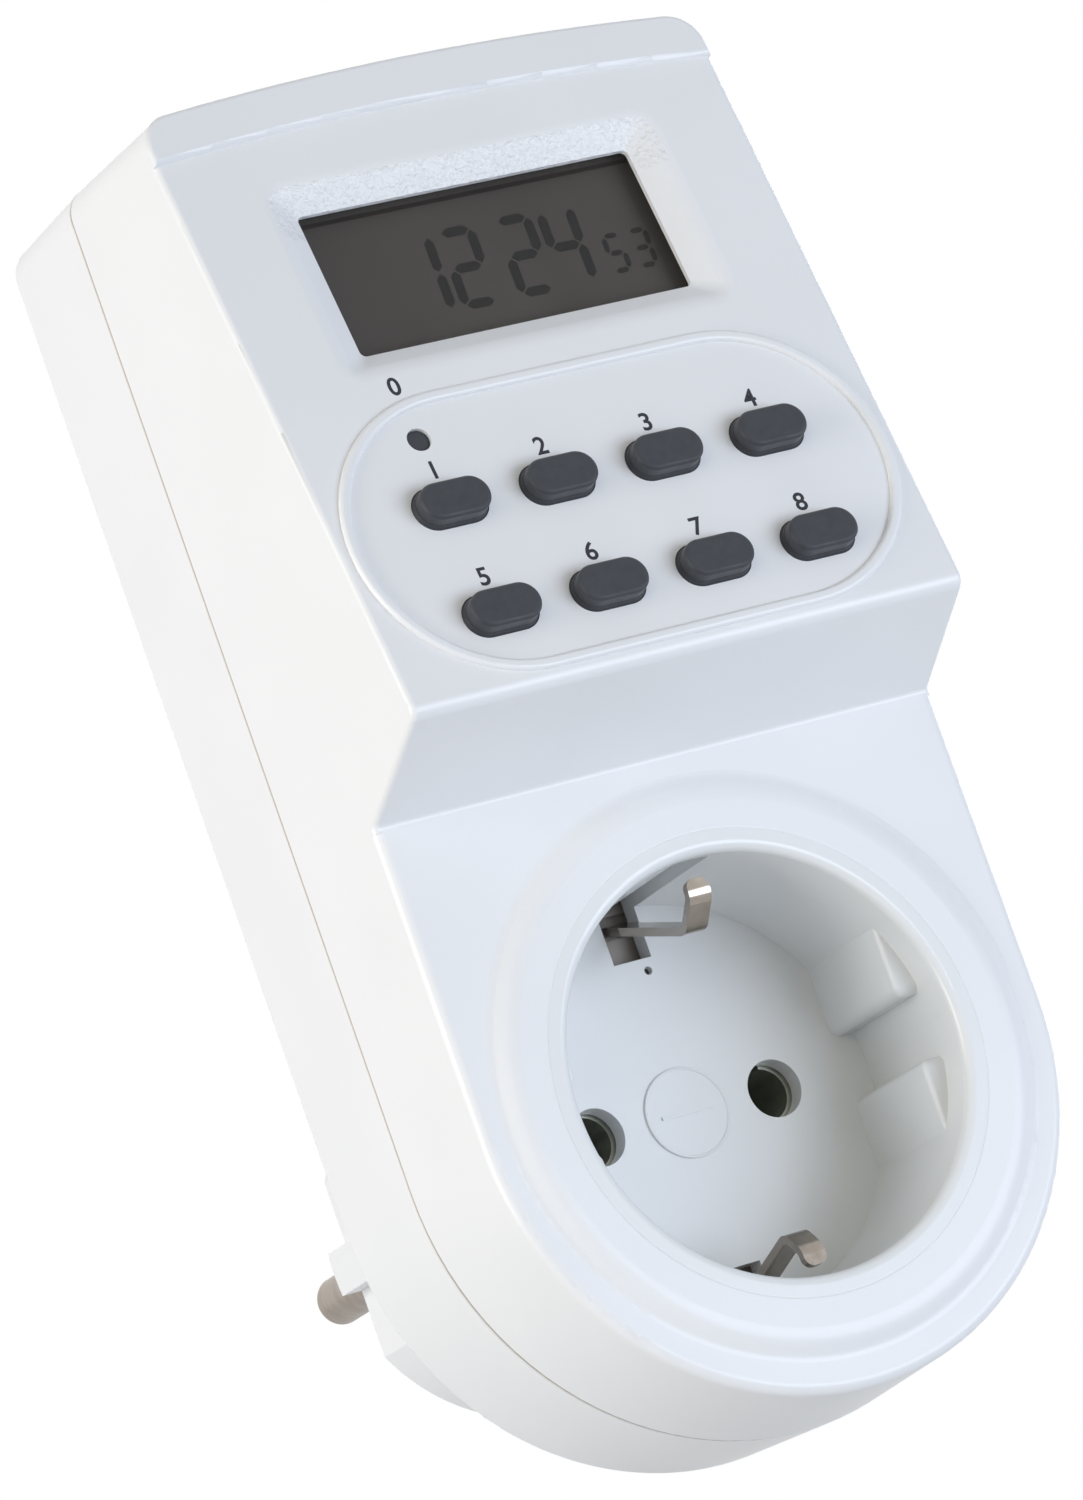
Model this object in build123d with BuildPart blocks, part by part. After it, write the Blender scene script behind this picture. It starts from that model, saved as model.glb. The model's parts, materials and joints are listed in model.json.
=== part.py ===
"""Electronic plug-in timer for an earthed socket.

The frame is the timer as it hangs on a wall: +Z up, +Y into the wall, the user in front at -Y.
The origin lies on the plug's axis, in the face of the plug that meets the wall socket.
Depths are measured forward from that face, so a depth of d is the plane y = -d.
Places on the leaning head are measured up its front from the front's lower edge, and inward from it.
"""

from build123d import *
from math import atan2, cos, radians, sin, sqrt, tan
import os

# Plug at the back
plug_height = 26.8
plug_r = 18.5
plug_half_flats = 16.3
plug_half_grooves = 16.3
plug_groove_width = 5.4
plug_tongue_width = 4.2
plug_wall = 2.0
plug_end_wall = 2.5
plug_edge_round = 0.6
pin_pitch = 19.0
pin_r = 2.4
pin_length = 19.0
pin_tip_round = 1.0
pin_shoulder_r = 2.6
pin_shoulder_proud = 0.3
pin_fit = 0.05
pin_flange_r = 3.4
pin_flange_thickness = 1.5
pin_stub_r = 1.6
pin_stub_length = 5.0

# Casing
rear_depth = 16.3
front_depth = 15.0
head_rise = 12.94
body_half_width = 30.1
round_end_drop = 0.7
crown_height = 97.45
crown_r = 300.0
corner_r = 3.3
wall = 2.0
draft_degrees = 2.6
foot_height = 29.2
head_foot_height = 35.46
head_tilt_degrees = 10.93
foot_cove_r = 0.5
deck_edge_round = 1.0
head_edge_round = 0.6
head_brow_round = 1.3
back_edge_round = 0.8
seam_chamfer = 0.25
seam_lip_height = 1.6
seam_lip_inset = 1.0
seam_lip_gap = 0.1
cut_overrun = 1.0
touch_gap = 0.1

# Raised band across the top of the head
band_drop = 4.74
band_foot_r = 320.0
band_proud = 0.5
band_edge_round = 0.45

# Collar round the socket
collar_height = 0.9
collar_r = 25.2
collar_base_r = 26.9
collar_round = 3.5
collar_foot_round = 1.5
collar_skirt = 0.5

# Socket insert
socket_r = 19.6
socket_depth = 17.5
insert_wall = 1.6
insert_floor = 2.0
insert_lip_width = 2.1
insert_lip_round = 0.9
insert_rim_round = 0.15
insert_gap = 0.05
insert_flange_width = 1.4
insert_flange_thickness = 1.5
insert_notch_gap = 0.3
pin_hole_r = 2.74
rib_gap = 6.0
rib_half_spacing = 17.0
rib_height = 13.5
rib_round = 0.4
rib_end_round = 1.0
clip_slot_width = 4.0
clip_slot_start = 14.7
clip_slot_skin = 0.5
clip_slot_stop = 1.6
disc_r = 4.24
disc_proud = 0.15
disc_bar_width = 0.35
disc_bar_length = 5.4
gate_pit_r = 0.4
gate_pit_depth = 0.6
gate_pit_x = 1.2
gate_pit_height = 13.5

# Display
display_width = 34.8
display_height = 14.9
display_foot = 35.2
display_corner_r = 0.6
funnel_depth = 1.5
funnel_corner_r = 1.2
funnel_edge_round = 3.0
funnel_side_reach = 2.7
funnel_end_reach = 2.35
window_lap = 2.9
window_thickness = 1.0
lcd_lap = 2.3
lcd_thickness = 1.8
lcd_glass_step = 2.0
bracket_lip_reach = 0.8
bracket_lip_thickness = 0.3
bracket_width = 1.9
bracket_gap = 0.15
zebra_width = 1.6
zebra_inset = 0.4
zebra_end_inset = 1.2

# Keypad
key_length = 7.0
key_width = 3.7
key_proud = 1.75
key_round = 0.4
key_gap = 0.3
key_pitch = 11.06
key_row_pitch = 11.05
key_low_row = 7.5
key_columns = 4
key_flange_reach = 0.8
key_flange_thickness = 0.8
key_flange_gap = 0.3
key_stem_inset = 0.8
key_stem_gap = 0.4
key_travel = 0.9
stroke_reserve = 0.2
mat_thickness = 1.0
mat_collar_height = 0.6
mat_collar_width = 0.7
mat_margin = 1.9
reset_r = 1.0
reset_gap = 0.15
reset_recess = 0.3
reset_flange_r = 1.8
reset_rise = 6.9
bead_length = 54.8
bead_height = 27.5
bead_centre = 15.5
bead_width = 1.1
bead_proud = 0.45
bead_round = 0.4

# Control board behind the head's front
board_thickness = 1.6
control_board_depth = 4.0
control_board_side_gap = 0.53
control_board_foot_gap = 1.28
control_board_top_gap = 0.9
control_post_r = 2.0
control_post_side = 2.0
control_post_low = 3.6
control_post_high = 3.4
chip_side = 8.0
chip_thickness = 1.4
chip_x = -7.0
chip_height = 17.0
chip_chamfer = 0.3
crystal_r = 1.0
crystal_length = 6.0
crystal_x = 7.0
crystal_height = 20.0
crystal_round = 0.3

# Self-tapping screws for the boards
tapping_shank_r = 0.9
tapping_head_r = 1.7
tapping_head_height = 1.3
tapping_length = 3.4
tapping_fit = 0.05
tapping_clearance = 0.3

# Housing screws
screw_shank_r = 1.3
screw_head_r = 2.4
screw_head_height = 2.0
screw_head_round = 0.6
screw_length = 12.0
screw_fit = 0.05
screw_clearance = 0.2
screw_recess = 8.5
screw_tail_gap = 0.7
rear_post_r = 3.5
rear_post_height = 9.7
front_post_r = 2.5
screw_round_r = 24.7
screw_round_degrees = 48.0
screw_top_x = 22.5
screw_top_drop = 5.75

# Power board behind the controls
power_post_height = 2.1
power_board_side_gap = 4.45
power_board_foot = 37.0
power_board_top_gap = 5.2
power_post_r = 2.4
power_post_inset = 3.0
case_round = 0.6
relay_width = 19.0
relay_height = 15.5
relay_depth = 15.0
relay_shares = (0.48, 0.39)
film_width = 17.5
film_height = 8.5
film_depth = 14.0
film_shares = (-0.5, 0.325)
smoothing_r = 5.0
smoothing_depth = 12.0
smoothing_shares = (-0.52, 0.705)
smoothing_groove = 0.4
smoothing_groove_height = 1.6
varistor_r = 3.8
varistor_thickness = 3.0
varistor_shares = (-0.5, 0.505)
fuse_r = 2.0
fuse_length = 9.0
fuse_shares = (-0.46, 0.16)
diode_r = 1.3
diode_length = 5.0
diode_pitch = 3.2
diode_count = 4
diode_shares = (-0.05, 0.63)
lead_r = 0.35
lead_reach = 1.2
lead_stand = 0.6
transistor_r = 2.4
transistor_flat = 1.2
transistor_height = 4.6
transistor_shares = (0, 0.15)
battery_r = 5.75
battery_thickness = 5.35
battery_rim = 0.6
battery_rim_height = 0.5
battery_shares = (0.6, 0.75)

# Contacts and the block that holds them
block_half_width = 19.5
block_half_height = 9.0
block_plate = 2.0
block_wall = 0.9
block_end_wall = 1.4
contact_r = 2.5
contact_thickness = 0.6
contact_spread = 0.6
contact_slit = 1.0
contact_end_gap = 0.3
contact_front_gap = 0.5
tail_width = 3.0
tail_reach = 3.0
tail_overlap = 1.8
tail_gap = 0.3
tail_foot_reach = 4.6
tail_foot_width = 1.8
link_width = 4.0
link_gap = 0.1
link_end_gap = 0.6

# Wires
wire_r = 0.8
wire_bend_r = 2.6
wire_lead = 3.4
wire_clearance = 2.4
wire_arch = 2.9
wire_edge = 2.2
switched_wire_shift = 4.6

# Earth strap and spring clips
strap_width = 3.2
strap_thickness = 0.8
strap_tip_gap = 1.6
strap_gap = 0.1
strap_side_gap = 0.3
clip_width = 2.3
clip_thickness = 0.8
clip_root_r = 0.9
clip_root_height = 17.6
clip_elbow_height = 18.4
clip_elbow_r = 8.0
clip_grip_r = 1.3
clip_curl_r = 1.2
clip_tip_corner_r = 0.9
upper_clip_bends = [(5.0, 14.0), (2.15, 16.35), (2.2, 17.95)]
lower_clip_bends = [(6.5, 14.7), (4.7, 16.5), (4.6, 18.1)]

# Ribbon cable between the boards
ribbon_width = 10.0
ribbon_thickness = 0.9
ribbon_bend_r = 4.0
ribbon_shares = (0, 0.935)
ribbon_reach = 11.5
ribbon_landing = 40.0
ribbon_landing_reach = 6.0


def half_width(depth):
    """Half the casing's width, widest at the parting line and drafted both ways from it."""
    return body_half_width - abs(depth - seam) * tan(radians(draft_degrees))


# Worked out from the sizes above
back = plug_height
seam = back + rear_depth
deck = seam + front_depth
head_front = deck + head_rise
mouth = deck + collar_height
socket_floor = mouth - socket_depth
floor_back = socket_floor - insert_floor
rear_inner = back + wall
deck_inner = deck - wall
tilt = radians(head_tilt_degrees)
pin_x = pin_pitch / 2
pin_places = [(pin_x, 0), (-pin_x, 0)]
insert_r = socket_r + insert_lip_width
cup_r = socket_r + insert_wall
control_front = wall + control_board_depth
control_back = control_front + board_thickness
control_board_width = 2 * (half_width(head_front) - wall - control_board_side_gap)
slope = atan2(head_foot_height - foot_height, head_rise)
slope_reach = wall + control_board_foot_gap - control_front * sin(slope - tilt)
control_board_foot = slope_reach / cos(slope - tilt)
post_foot = crown_height - screw_top_drop - front_post_r
post_climb = (post_foot - head_foot_height + control_front * sin(tilt)) / cos(tilt)
control_board_height = post_climb - control_board_top_gap - control_board_foot
power_back = rear_inner + power_post_height
power_front = power_back + board_thickness
power_board_width = 2 * (half_width(rear_inner) - wall - power_board_side_gap)
power_board_top = crown_height - screw_top_drop - rear_post_r - power_board_top_gap
power_board_height = power_board_top - power_board_foot
display_middle = display_foot + display_height / 2
crown_climb = (crown_height - head_foot_height) / cos(tilt)
band_foot = crown_climb - band_drop
window_back = wall + window_thickness
screw_seat = back + screw_recess
screw_meeting = rear_inner + rear_post_height
contact_back = socket_floor - pin_length - contact_end_gap
pocket_r = contact_r + contact_thickness + contact_spread
tower_r = pocket_r + block_wall
block_back = contact_back - block_end_wall
tail_back = block_back - tail_reach
stub_end = plug_end_wall + pin_flange_thickness + pin_stub_length
wire_height = block_half_height + wire_clearance
wire_forward = power_front + wire_arch
switched_wire_x = pin_x - switched_wire_shift

os.makedirs("parts", exist_ok=True)


def at_depth(depth):
    """Plane facing the user at a depth in front of the plug's face: local x is X, local y is Z."""
    return Plane.XZ.offset(depth)


def head_plane(inward):
    """Plane parallel to the head's front, sunk inward: local y climbs from the front's lower edge."""
    foot = (0, -head_front, head_foot_height)
    front = Plane(origin=foot, x_dir=(1, 0, 0), z_dir=(0, -cos(tilt), sin(tilt)))
    return front.offset(-inward)


def head_point(climb, inward):
    """Side view point, as (y, z), at a climb up the head's front and a distance inward from it."""
    y = -head_front + climb * sin(tilt) + inward * cos(tilt)
    return (y, head_foot_height + climb * cos(tilt) - inward * sin(tilt))


def front_depth_at(height):
    """Depth of the head's front at a height."""
    return head_front - (height - head_foot_height) * tan(tilt)


def body_outline(depth, inset):
    """Face of the outline at a depth: round below, straight sides, rounded corners and an arched crown."""
    half = half_width(depth) - inset
    arch_r = crown_r - inset
    corner = max(corner_r - inset, inset / 2)
    arch_centre = crown_height - crown_r
    corner_x = half - corner
    corner_z = arch_centre + sqrt((arch_r - corner) ** 2 - corner_x**2)
    spread = arch_r / (arch_r - corner)
    arch_end = (corner_x * spread, arch_centre + (corner_z - arch_centre) * spread)
    arch_middle = arch_end[0] / 2
    arch_middle_z = arch_centre + sqrt(arch_r**2 - arch_middle**2)
    low = -round_end_drop
    diagonal = half * sin(radians(45))
    with BuildSketch(at_depth(depth)) as outline:
        with BuildLine():
            ThreePointArc((0, low - half), (diagonal, low - diagonal), (half, low))
            Line((half, low), (half, corner_z))
            TangentArc((half, corner_z), arch_end, tangent=(0, 1))
            ThreePointArc(arch_end, (arch_middle, arch_middle_z), (0, arch_centre + arch_r))
            mirror(about=Plane.YZ)
        make_face()
    return outline.sketch


def body_block(depth_from, depth_to, inset, mode=Mode.ADD):
    """Drafted block between two depths, inset from the casing's outside."""
    loft([body_outline(depth, inset) for depth in (depth_from, depth_to)], ruled=True, mode=mode)


def casing_block(depth_to):
    """Outer block from the parting line to a depth, chamfered at the line so that it shows as a groove."""
    step = seam_chamfer if depth_to > seam else -seam_chamfer
    edge = body_outline(seam, seam_chamfer)
    loft([edge, body_outline(seam + step, 0), body_outline(depth_to, 0)], ruled=True)


def screw_places():
    """The four housing screws: two in the round end and two below the crown."""
    angle = radians(screw_round_degrees)
    low_x = screw_round_r * sin(angle)
    low_z = -round_end_drop - screw_round_r * cos(angle)
    top_z = crown_height - screw_top_drop
    return [(low_x, low_z), (-low_x, low_z), (screw_top_x, top_z), (-screw_top_x, top_z)]


def control_places():
    """The four posts of the control board, on the head's own plane."""
    x = control_board_width / 2 - control_post_side
    low = control_board_foot + control_post_low
    high = control_board_foot + control_board_height - control_post_high
    return [(x, low), (-x, low), (x, high), (-x, high)]


def power_places():
    """The four posts of the power board."""
    x = power_board_width / 2 - power_post_inset
    low = power_board_foot + power_post_inset
    high = power_board_foot + power_board_height - power_post_inset
    return [(x, low), (-x, low), (x, high), (-x, high)]


def on_power_board(shares):
    """Place on the power board at a share of its half width and a share of its height."""
    across, up = shares
    return (across * power_board_width / 2, power_board_foot + up * power_board_height)


def key_places():
    """Key centres on the head's own plane, the upper row first."""
    first = -key_pitch * (key_columns - 1) / 2
    rows = (key_low_row + key_row_pitch, key_low_row)
    return [(first + column * key_pitch, row) for row in rows for column in range(key_columns)]


def reset_place():
    """Centre of the reset key, above the first key of the upper row."""
    first_x, upper_row = key_places()[0]
    return (first_x, upper_row + reset_rise)


def disc(plane, places, radius, thickness, mode=Mode.ADD):
    """Round discs of one radius raised from a plane at a list of places."""
    with BuildSketch(plane) as profile:
        with Locations(*places):
            Circle(radius)
    extrude(profile.sketch, amount=thickness, mode=mode)


def block(plane, place, width, height, thickness, mode=Mode.ADD):
    """Rectangular block raised from a plane, centred on a place."""
    with BuildSketch(plane) as profile:
        with Locations(place):
            Rectangle(width, height)
    extrude(profile.sketch, amount=thickness, mode=mode)


def slot(plane, place, width, height, thickness, mode=Mode.ADD):
    """Round-ended block raised from a plane, centred on a place."""
    with BuildSketch(plane) as profile:
        with Locations(place):
            SlotOverall(width, height)
    extrude(profile.sketch, amount=thickness, mode=mode)


head_out = Axis(head_plane(0).origin, head_plane(0).z_dir)

# Outer form of the lower deck, with its soft front edge
with BuildPart() as deck_form:
    casing_block(head_front)
    with BuildSketch(Plane.YZ):
        with Locations((-deck, 0)):
            Rectangle(deck, 4 * crown_height, align=(Align.MIN, Align.CENTER))
    extrude(amount=2 * body_half_width, both=True, mode=Mode.INTERSECT)
    fillet(deck_form.edges().group_by(Axis.Y)[0], radius=deck_edge_round)

# Outer form of the leaning head, cut below by its slope and in front by its face
with BuildPart() as head_form:
    casing_block(head_front)
    with BuildSketch(Plane.YZ) as side_view:
        above = 2 * crown_height
        with BuildLine():
            Polyline(
                (0, foot_height - foot_cove_r),
                (-deck, foot_height - foot_cove_r),
                (-deck, foot_height),
                (-head_front, head_foot_height),
                (-head_front + (above - head_foot_height) * tan(tilt), above),
                (0, above),
                close=True,
            )
        make_face()
        fillet(side_view.vertices().sort_by_distance((-deck, foot_height))[0], radius=foot_cove_r)
        brow = side_view.vertices().sort_by_distance((-head_front, head_foot_height))[0]
        fillet(brow, radius=head_brow_round)
    extrude(amount=2 * body_half_width, both=True, mode=Mode.INTERSECT)
    face_middle = head_plane(0).from_local_coords((0, display_middle))
    face_edges = head_form.faces().sort_by_distance(face_middle)[0].edges().sort_by(Axis.Z)[1:]
    slope_middle = (0, -(deck + head_front) / 2, (foot_height + head_foot_height) / 2)
    slope_edges = head_form.faces().sort_by_distance(slope_middle)[0].edges().sort_by(Axis.X)
    fillet(face_edges + [slope_edges[0], slope_edges[-1]], radius=head_edge_round)

# Raised band along the top of the head's front, as wide as the head, with a rounded lower lip
with BuildPart() as band:
    casing_block(head_front)
    with BuildSketch(head_plane(wall / 2)):
        with Locations((0, band_foot)):
            Rectangle(2 * body_half_width, crown_height)
        with Locations((0, band_foot - band_foot_r)):
            Circle(band_foot_r, mode=Mode.SUBTRACT)
    extrude(amount=wall / 2 + band_proud, mode=Mode.INTERSECT)
    front_edges = band.faces().sort_by(head_out)[-1].edges()
    fillet(front_edges, radius=band_edge_round)

# Rounded bead round the keypad
with BuildPart() as bead:
    with BuildSketch(head_plane(wall / 2)):
        with Locations((0, bead_centre)):
            SlotOverall(bead_length + bead_width, bead_height + bead_width)
            SlotOverall(bead_length - bead_width, bead_height - bead_width, mode=Mode.SUBTRACT)
    extrude(amount=wall / 2 + bead_proud)
    crest = bead.faces().sort_by(head_out)[-1]
    fillet(crest.edges(), radius=bead_round)

# Whole outer form of the front housing
with BuildPart() as front_form:
    add(deck_form)
    add(head_form)

# Room inside the front housing, one wall thickness in from the outside
with BuildPart() as front_cavity:
    body_block(seam, head_front, wall)
    with BuildSketch(Plane.YZ):
        above = 2 * crown_height
        with BuildLine():
            Polyline(
                (above, -above),
                (-deck, -above),
                (-deck, foot_height),
                (-head_front, head_foot_height),
                (-head_front + (above - head_foot_height) * tan(tilt), above),
                (above, above),
                close=True,
            )
        make_face()
        offset(amount=-wall, kind=Kind.INTERSECTION, mode=Mode.REPLACE)
    extrude(amount=2 * body_half_width, both=True, mode=Mode.INTERSECT)

with BuildPart() as front_housing:
    add(front_form)
    add(front_cavity, mode=Mode.SUBTRACT)
    body_block(seam, seam + seam_lip_height, seam_lip_inset, mode=Mode.SUBTRACT)
    add(band)
    add(bead)
    # Collar that slopes from the deck up to the socket
    with BuildSketch(Plane.XY) as collar:
        with BuildLine():
            Polyline(
                (socket_r, -deck_inner),
                (socket_r, -mouth),
                (collar_r, -mouth),
                (collar_base_r, -deck),
                (collar_base_r + collar_skirt, -deck),
                (collar_base_r + collar_skirt, -deck_inner),
                close=True,
            )
        make_face()
        fillet(collar.vertices().sort_by_distance((collar_r, -mouth))[0], radius=collar_round)
        foot = collar.vertices().sort_by_distance((collar_base_r, -deck))[0]
        fillet(foot, radius=collar_foot_round)
    revolve(axis=Axis.Y)
    mouth_cut = wall + collar_height + 2 * cut_overrun
    disc(at_depth(deck_inner - cut_overrun), [(0, 0)], insert_r + insert_gap, mouth_cut, Mode.SUBTRACT)
    # Posts that take the housing screws
    for x, z in screw_places():
        front = deck if z < foot_height else front_depth_at(z)
        disc(at_depth(screw_meeting), [(x, z)], front_post_r, front - wall / 2 - screw_meeting)
    pilot_depth = screw_seat + screw_length + screw_tail_gap - screw_meeting
    disc(at_depth(screw_meeting), screw_places(), screw_shank_r + screw_fit, pilot_depth, Mode.SUBTRACT)
    # Posts of the control board
    disc(head_plane(control_front), control_places(), control_post_r, control_board_depth + wall / 2)
    pilot = tapping_shank_r + tapping_fit
    pilot_depth = control_board_depth - touch_gap
    disc(head_plane(control_front), control_places(), pilot, pilot_depth, Mode.SUBTRACT)
    # Funnel and opening of the display
    funnel_width = display_width + 2 * funnel_side_reach
    funnel_height = display_height + 2 * funnel_end_reach
    with BuildSketch(head_plane(0)):
        with Locations((0, display_middle)):
            RectangleRounded(funnel_width, funnel_height, funnel_corner_r)
    with BuildSketch(head_plane(funnel_depth)) as display_opening:
        with Locations((0, display_middle)):
            RectangleRounded(display_width, display_height, display_corner_r)
    loft(ruled=True, mode=Mode.SUBTRACT)
    extrude(display_opening.sketch, amount=-wall, mode=Mode.SUBTRACT)
    rim_place = head_plane(0).from_local_coords((0, display_middle + funnel_height / 2))
    fillet(front_housing.edges().sort_by_distance(rim_place)[0], radius=funnel_edge_round)
    # Key holes and the reset hole
    key_hole = (key_length + 2 * key_gap, key_width + 2 * key_gap)
    for place in key_places():
        slot(head_plane(2 * wall), place, *key_hole, 3 * wall, Mode.SUBTRACT)
    disc(head_plane(2 * wall), [reset_place()], reset_r + reset_gap, 3 * wall, Mode.SUBTRACT)
front_housing.part.label = "front_housing"
export_step(front_housing.part, "parts/front_housing.step")

# Round plug with side tongues and two earth grooves
with BuildPart() as plug_boss:
    with BuildSketch(at_depth(0)):
        Rectangle(2 * plug_half_flats, 2 * plug_r)
        Rectangle(2 * plug_r, plug_tongue_width)
        Circle(plug_r, mode=Mode.INTERSECT)
        with Locations((0, plug_half_grooves + plug_r / 2), (0, -plug_half_grooves - plug_r / 2)):
            Rectangle(plug_groove_width, plug_r, mode=Mode.SUBTRACT)
    extrude(amount=rear_inner - wall / 2)
    fillet(plug_boss.edges().group_by(Axis.Y)[-1], radius=plug_edge_round)

# Outer form of the rear housing without its plug
with BuildPart() as rear_form:
    casing_block(back)
    fillet(rear_form.edges().group_by(Axis.Y)[-1], radius=back_edge_round)

# Posts that carry the housing screws' heads, trimmed to the casing
with BuildPart() as rear_posts:
    disc(at_depth(back), screw_places(), rear_post_r, wall + rear_post_height)
    add(rear_form, mode=Mode.INTERSECT)

# Lip that fits inside the front housing
with BuildPart() as seam_lip:
    body_block(seam, seam + seam_lip_height - touch_gap, seam_lip_inset + seam_lip_gap)
    body_block(seam, seam + seam_lip_height - touch_gap, wall, mode=Mode.SUBTRACT)

with BuildPart() as rear_housing:
    add(rear_form)
    body_block(rear_inner, seam, wall, mode=Mode.SUBTRACT)
    add(rear_posts)
    add(seam_lip)
    add(plug_boss)
    # Room inside the plug
    with BuildSketch(at_depth(plug_end_wall)):
        Rectangle(2 * (plug_half_flats - plug_wall), 2 * (plug_half_grooves - plug_wall))
        Circle(plug_r - plug_wall, mode=Mode.INTERSECT)
    extrude(amount=rear_inner - plug_end_wall, mode=Mode.SUBTRACT)
    pin_hole_depth = plug_end_wall + 2 * cut_overrun
    disc(at_depth(-cut_overrun), pin_places, pin_shoulder_r + pin_fit, pin_hole_depth, Mode.SUBTRACT)
    # Slots through which the earth strap reaches the grooves
    strap_slot = strap_thickness + 2 * strap_gap
    slot_width = strap_width + 2 * strap_side_gap
    slot_depth = wall + 2 * cut_overrun
    for z in (plug_half_grooves + strap_slot / 2, -plug_half_grooves - strap_slot / 2):
        block(at_depth(back - cut_overrun), (0, z), slot_width, strap_slot, slot_depth, Mode.SUBTRACT)
    # Recesses and holes of the housing screws
    recess_r = screw_head_r + screw_clearance
    disc(at_depth(back - cut_overrun), screw_places(), recess_r, screw_recess + cut_overrun, Mode.SUBTRACT)
    hole_r = screw_shank_r + screw_clearance
    disc(at_depth(back), screw_places(), hole_r, wall + rear_post_height + cut_overrun, Mode.SUBTRACT)
    # Posts of the power board
    disc(at_depth(rear_inner - wall / 2), power_places(), power_post_r, power_post_height + wall / 2)
    pilot = tapping_shank_r + tapping_fit
    disc(at_depth(rear_inner), power_places(), pilot, power_post_height + cut_overrun, Mode.SUBTRACT)
rear_housing.part.label = "rear_housing"
export_step(rear_housing.part, "parts/rear_housing.step")

# Guide ribs in the socket: two on each side, with rounded front corners
with BuildPart() as ribs:
    with BuildSketch(at_depth(socket_floor)):
        Circle(socket_r + insert_wall / 2)
        Rectangle(2 * rib_half_spacing, 2 * cup_r, mode=Mode.SUBTRACT)
        Rectangle(2 * cup_r, rib_gap, mode=Mode.SUBTRACT)
    extrude(amount=rib_height)
    rib_tops = ribs.edges().group_by(Axis.Y)[0]
    fillet(rib_tops.filter_by(Axis.Z), radius=rib_round)
    fillet(ribs.edges().group_by(Axis.Y)[0].filter_by(Axis.X), radius=rib_end_round)

with BuildPart() as socket_insert:
    with BuildSketch(Plane.XY) as cup:
        with BuildLine():
            Polyline(
                (0, -floor_back),
                (cup_r, -floor_back),
                (cup_r, -deck_inner + insert_flange_thickness),
                (cup_r + insert_flange_width, -deck_inner + insert_flange_thickness),
                (cup_r + insert_flange_width, -deck_inner),
                (insert_r, -deck_inner),
                (insert_r, -mouth),
                (socket_r, -mouth),
                (socket_r, -socket_floor),
                (0, -socket_floor),
                close=True,
            )
        make_face()
        fillet(cup.vertices().sort_by_distance((socket_r, -mouth))[0], radius=insert_lip_round)
        fillet(cup.vertices().sort_by_distance((insert_r, -mouth))[0], radius=insert_rim_round)
    revolve(axis=Axis.Y)
    add(ribs)
    # Plain raised disc in the middle, with a bar, and the gate's pit above it
    disc(at_depth(socket_floor), [(0, 0)], disc_r, disc_proud)
    block(at_depth(socket_floor), (0, 0), disc_bar_length, disc_bar_width, 2 * disc_proud)
    pit_floor = socket_floor - gate_pit_depth
    pit_reach = gate_pit_depth + cut_overrun
    disc(at_depth(pit_floor), [(gate_pit_x, gate_pit_height)], gate_pit_r, pit_reach, Mode.SUBTRACT)
    # Pin holes
    hole_depth = insert_floor + 2 * cut_overrun
    disc(at_depth(floor_back - cut_overrun), pin_places, pin_hole_r, hole_depth, Mode.SUBTRACT)
    # Slots for the earth clips, open to the floor's back and sunk into the wall
    slot_height = cup_r - clip_slot_skin - clip_slot_start
    slot_depth = mouth - clip_slot_stop - floor_back
    for z in (clip_slot_start + slot_height / 2, -clip_slot_start - slot_height / 2):
        block(at_depth(floor_back), (0, z), clip_slot_width, slot_height, slot_depth, Mode.SUBTRACT)
    # Notches that let the flange pass the lower screw posts
    flange_back = deck_inner - insert_flange_thickness
    notch_r = front_post_r + insert_notch_gap
    disc(at_depth(flange_back), screw_places()[:2], notch_r, insert_flange_thickness, Mode.SUBTRACT)
socket_insert.part.label = "socket_insert"
export_step(socket_insert.part, "parts/socket_insert.step")

# Block behind the socket that holds the two sleeve contacts
with BuildPart() as contact_block:
    block(at_depth(rear_inner), (0, 0), 2 * block_half_width, 2 * block_half_height, block_plate)
    disc(at_depth(block_back), pin_places, tower_r, floor_back - block_back)
    disc(at_depth(contact_back - touch_gap), pin_places, pocket_r, floor_back, Mode.SUBTRACT)
    # Channel under which the earth strap crosses
    channel_width = strap_width + 2 * strap_side_gap
    channel_depth = strap_thickness + strap_side_gap
    block(at_depth(rear_inner), (0, 0), channel_width, 2 * block_half_height, channel_depth, Mode.SUBTRACT)
    # Slots for the contacts' tails
    tail_slot = (tail_width + 2 * tail_gap, contact_thickness + 2 * tail_gap)
    tail_middle = -contact_r - contact_thickness / 2
    for x in (pin_x, -pin_x):
        block(at_depth(block_back), (x, tail_middle), *tail_slot, 2 * block_end_wall, Mode.SUBTRACT)
contact_block.part.label = "contact_block"
export_step(contact_block.part, "parts/contact_block.step")


def contact_sleeve(x):
    """Split sleeve that grips a plug's pin, with a flat tail that leaves the block at the back."""
    with BuildSketch(at_depth(contact_back)) as sleeve:
        with Locations((x, 0)):
            Circle(contact_r + contact_thickness)
            Circle(contact_r, mode=Mode.SUBTRACT)
        with Locations((x, contact_r + contact_thickness / 2)):
            Rectangle(contact_slit, contact_r, mode=Mode.SUBTRACT)
    extrude(sleeve.sketch, amount=floor_back - contact_front_gap - contact_back)
    tail_plane = Plane.XY.offset(-contact_r - contact_thickness)
    tail_length = contact_back + tail_overlap - tail_back
    block(tail_plane, (x, -tail_back - tail_length / 2), tail_width, tail_length, contact_thickness)


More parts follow.
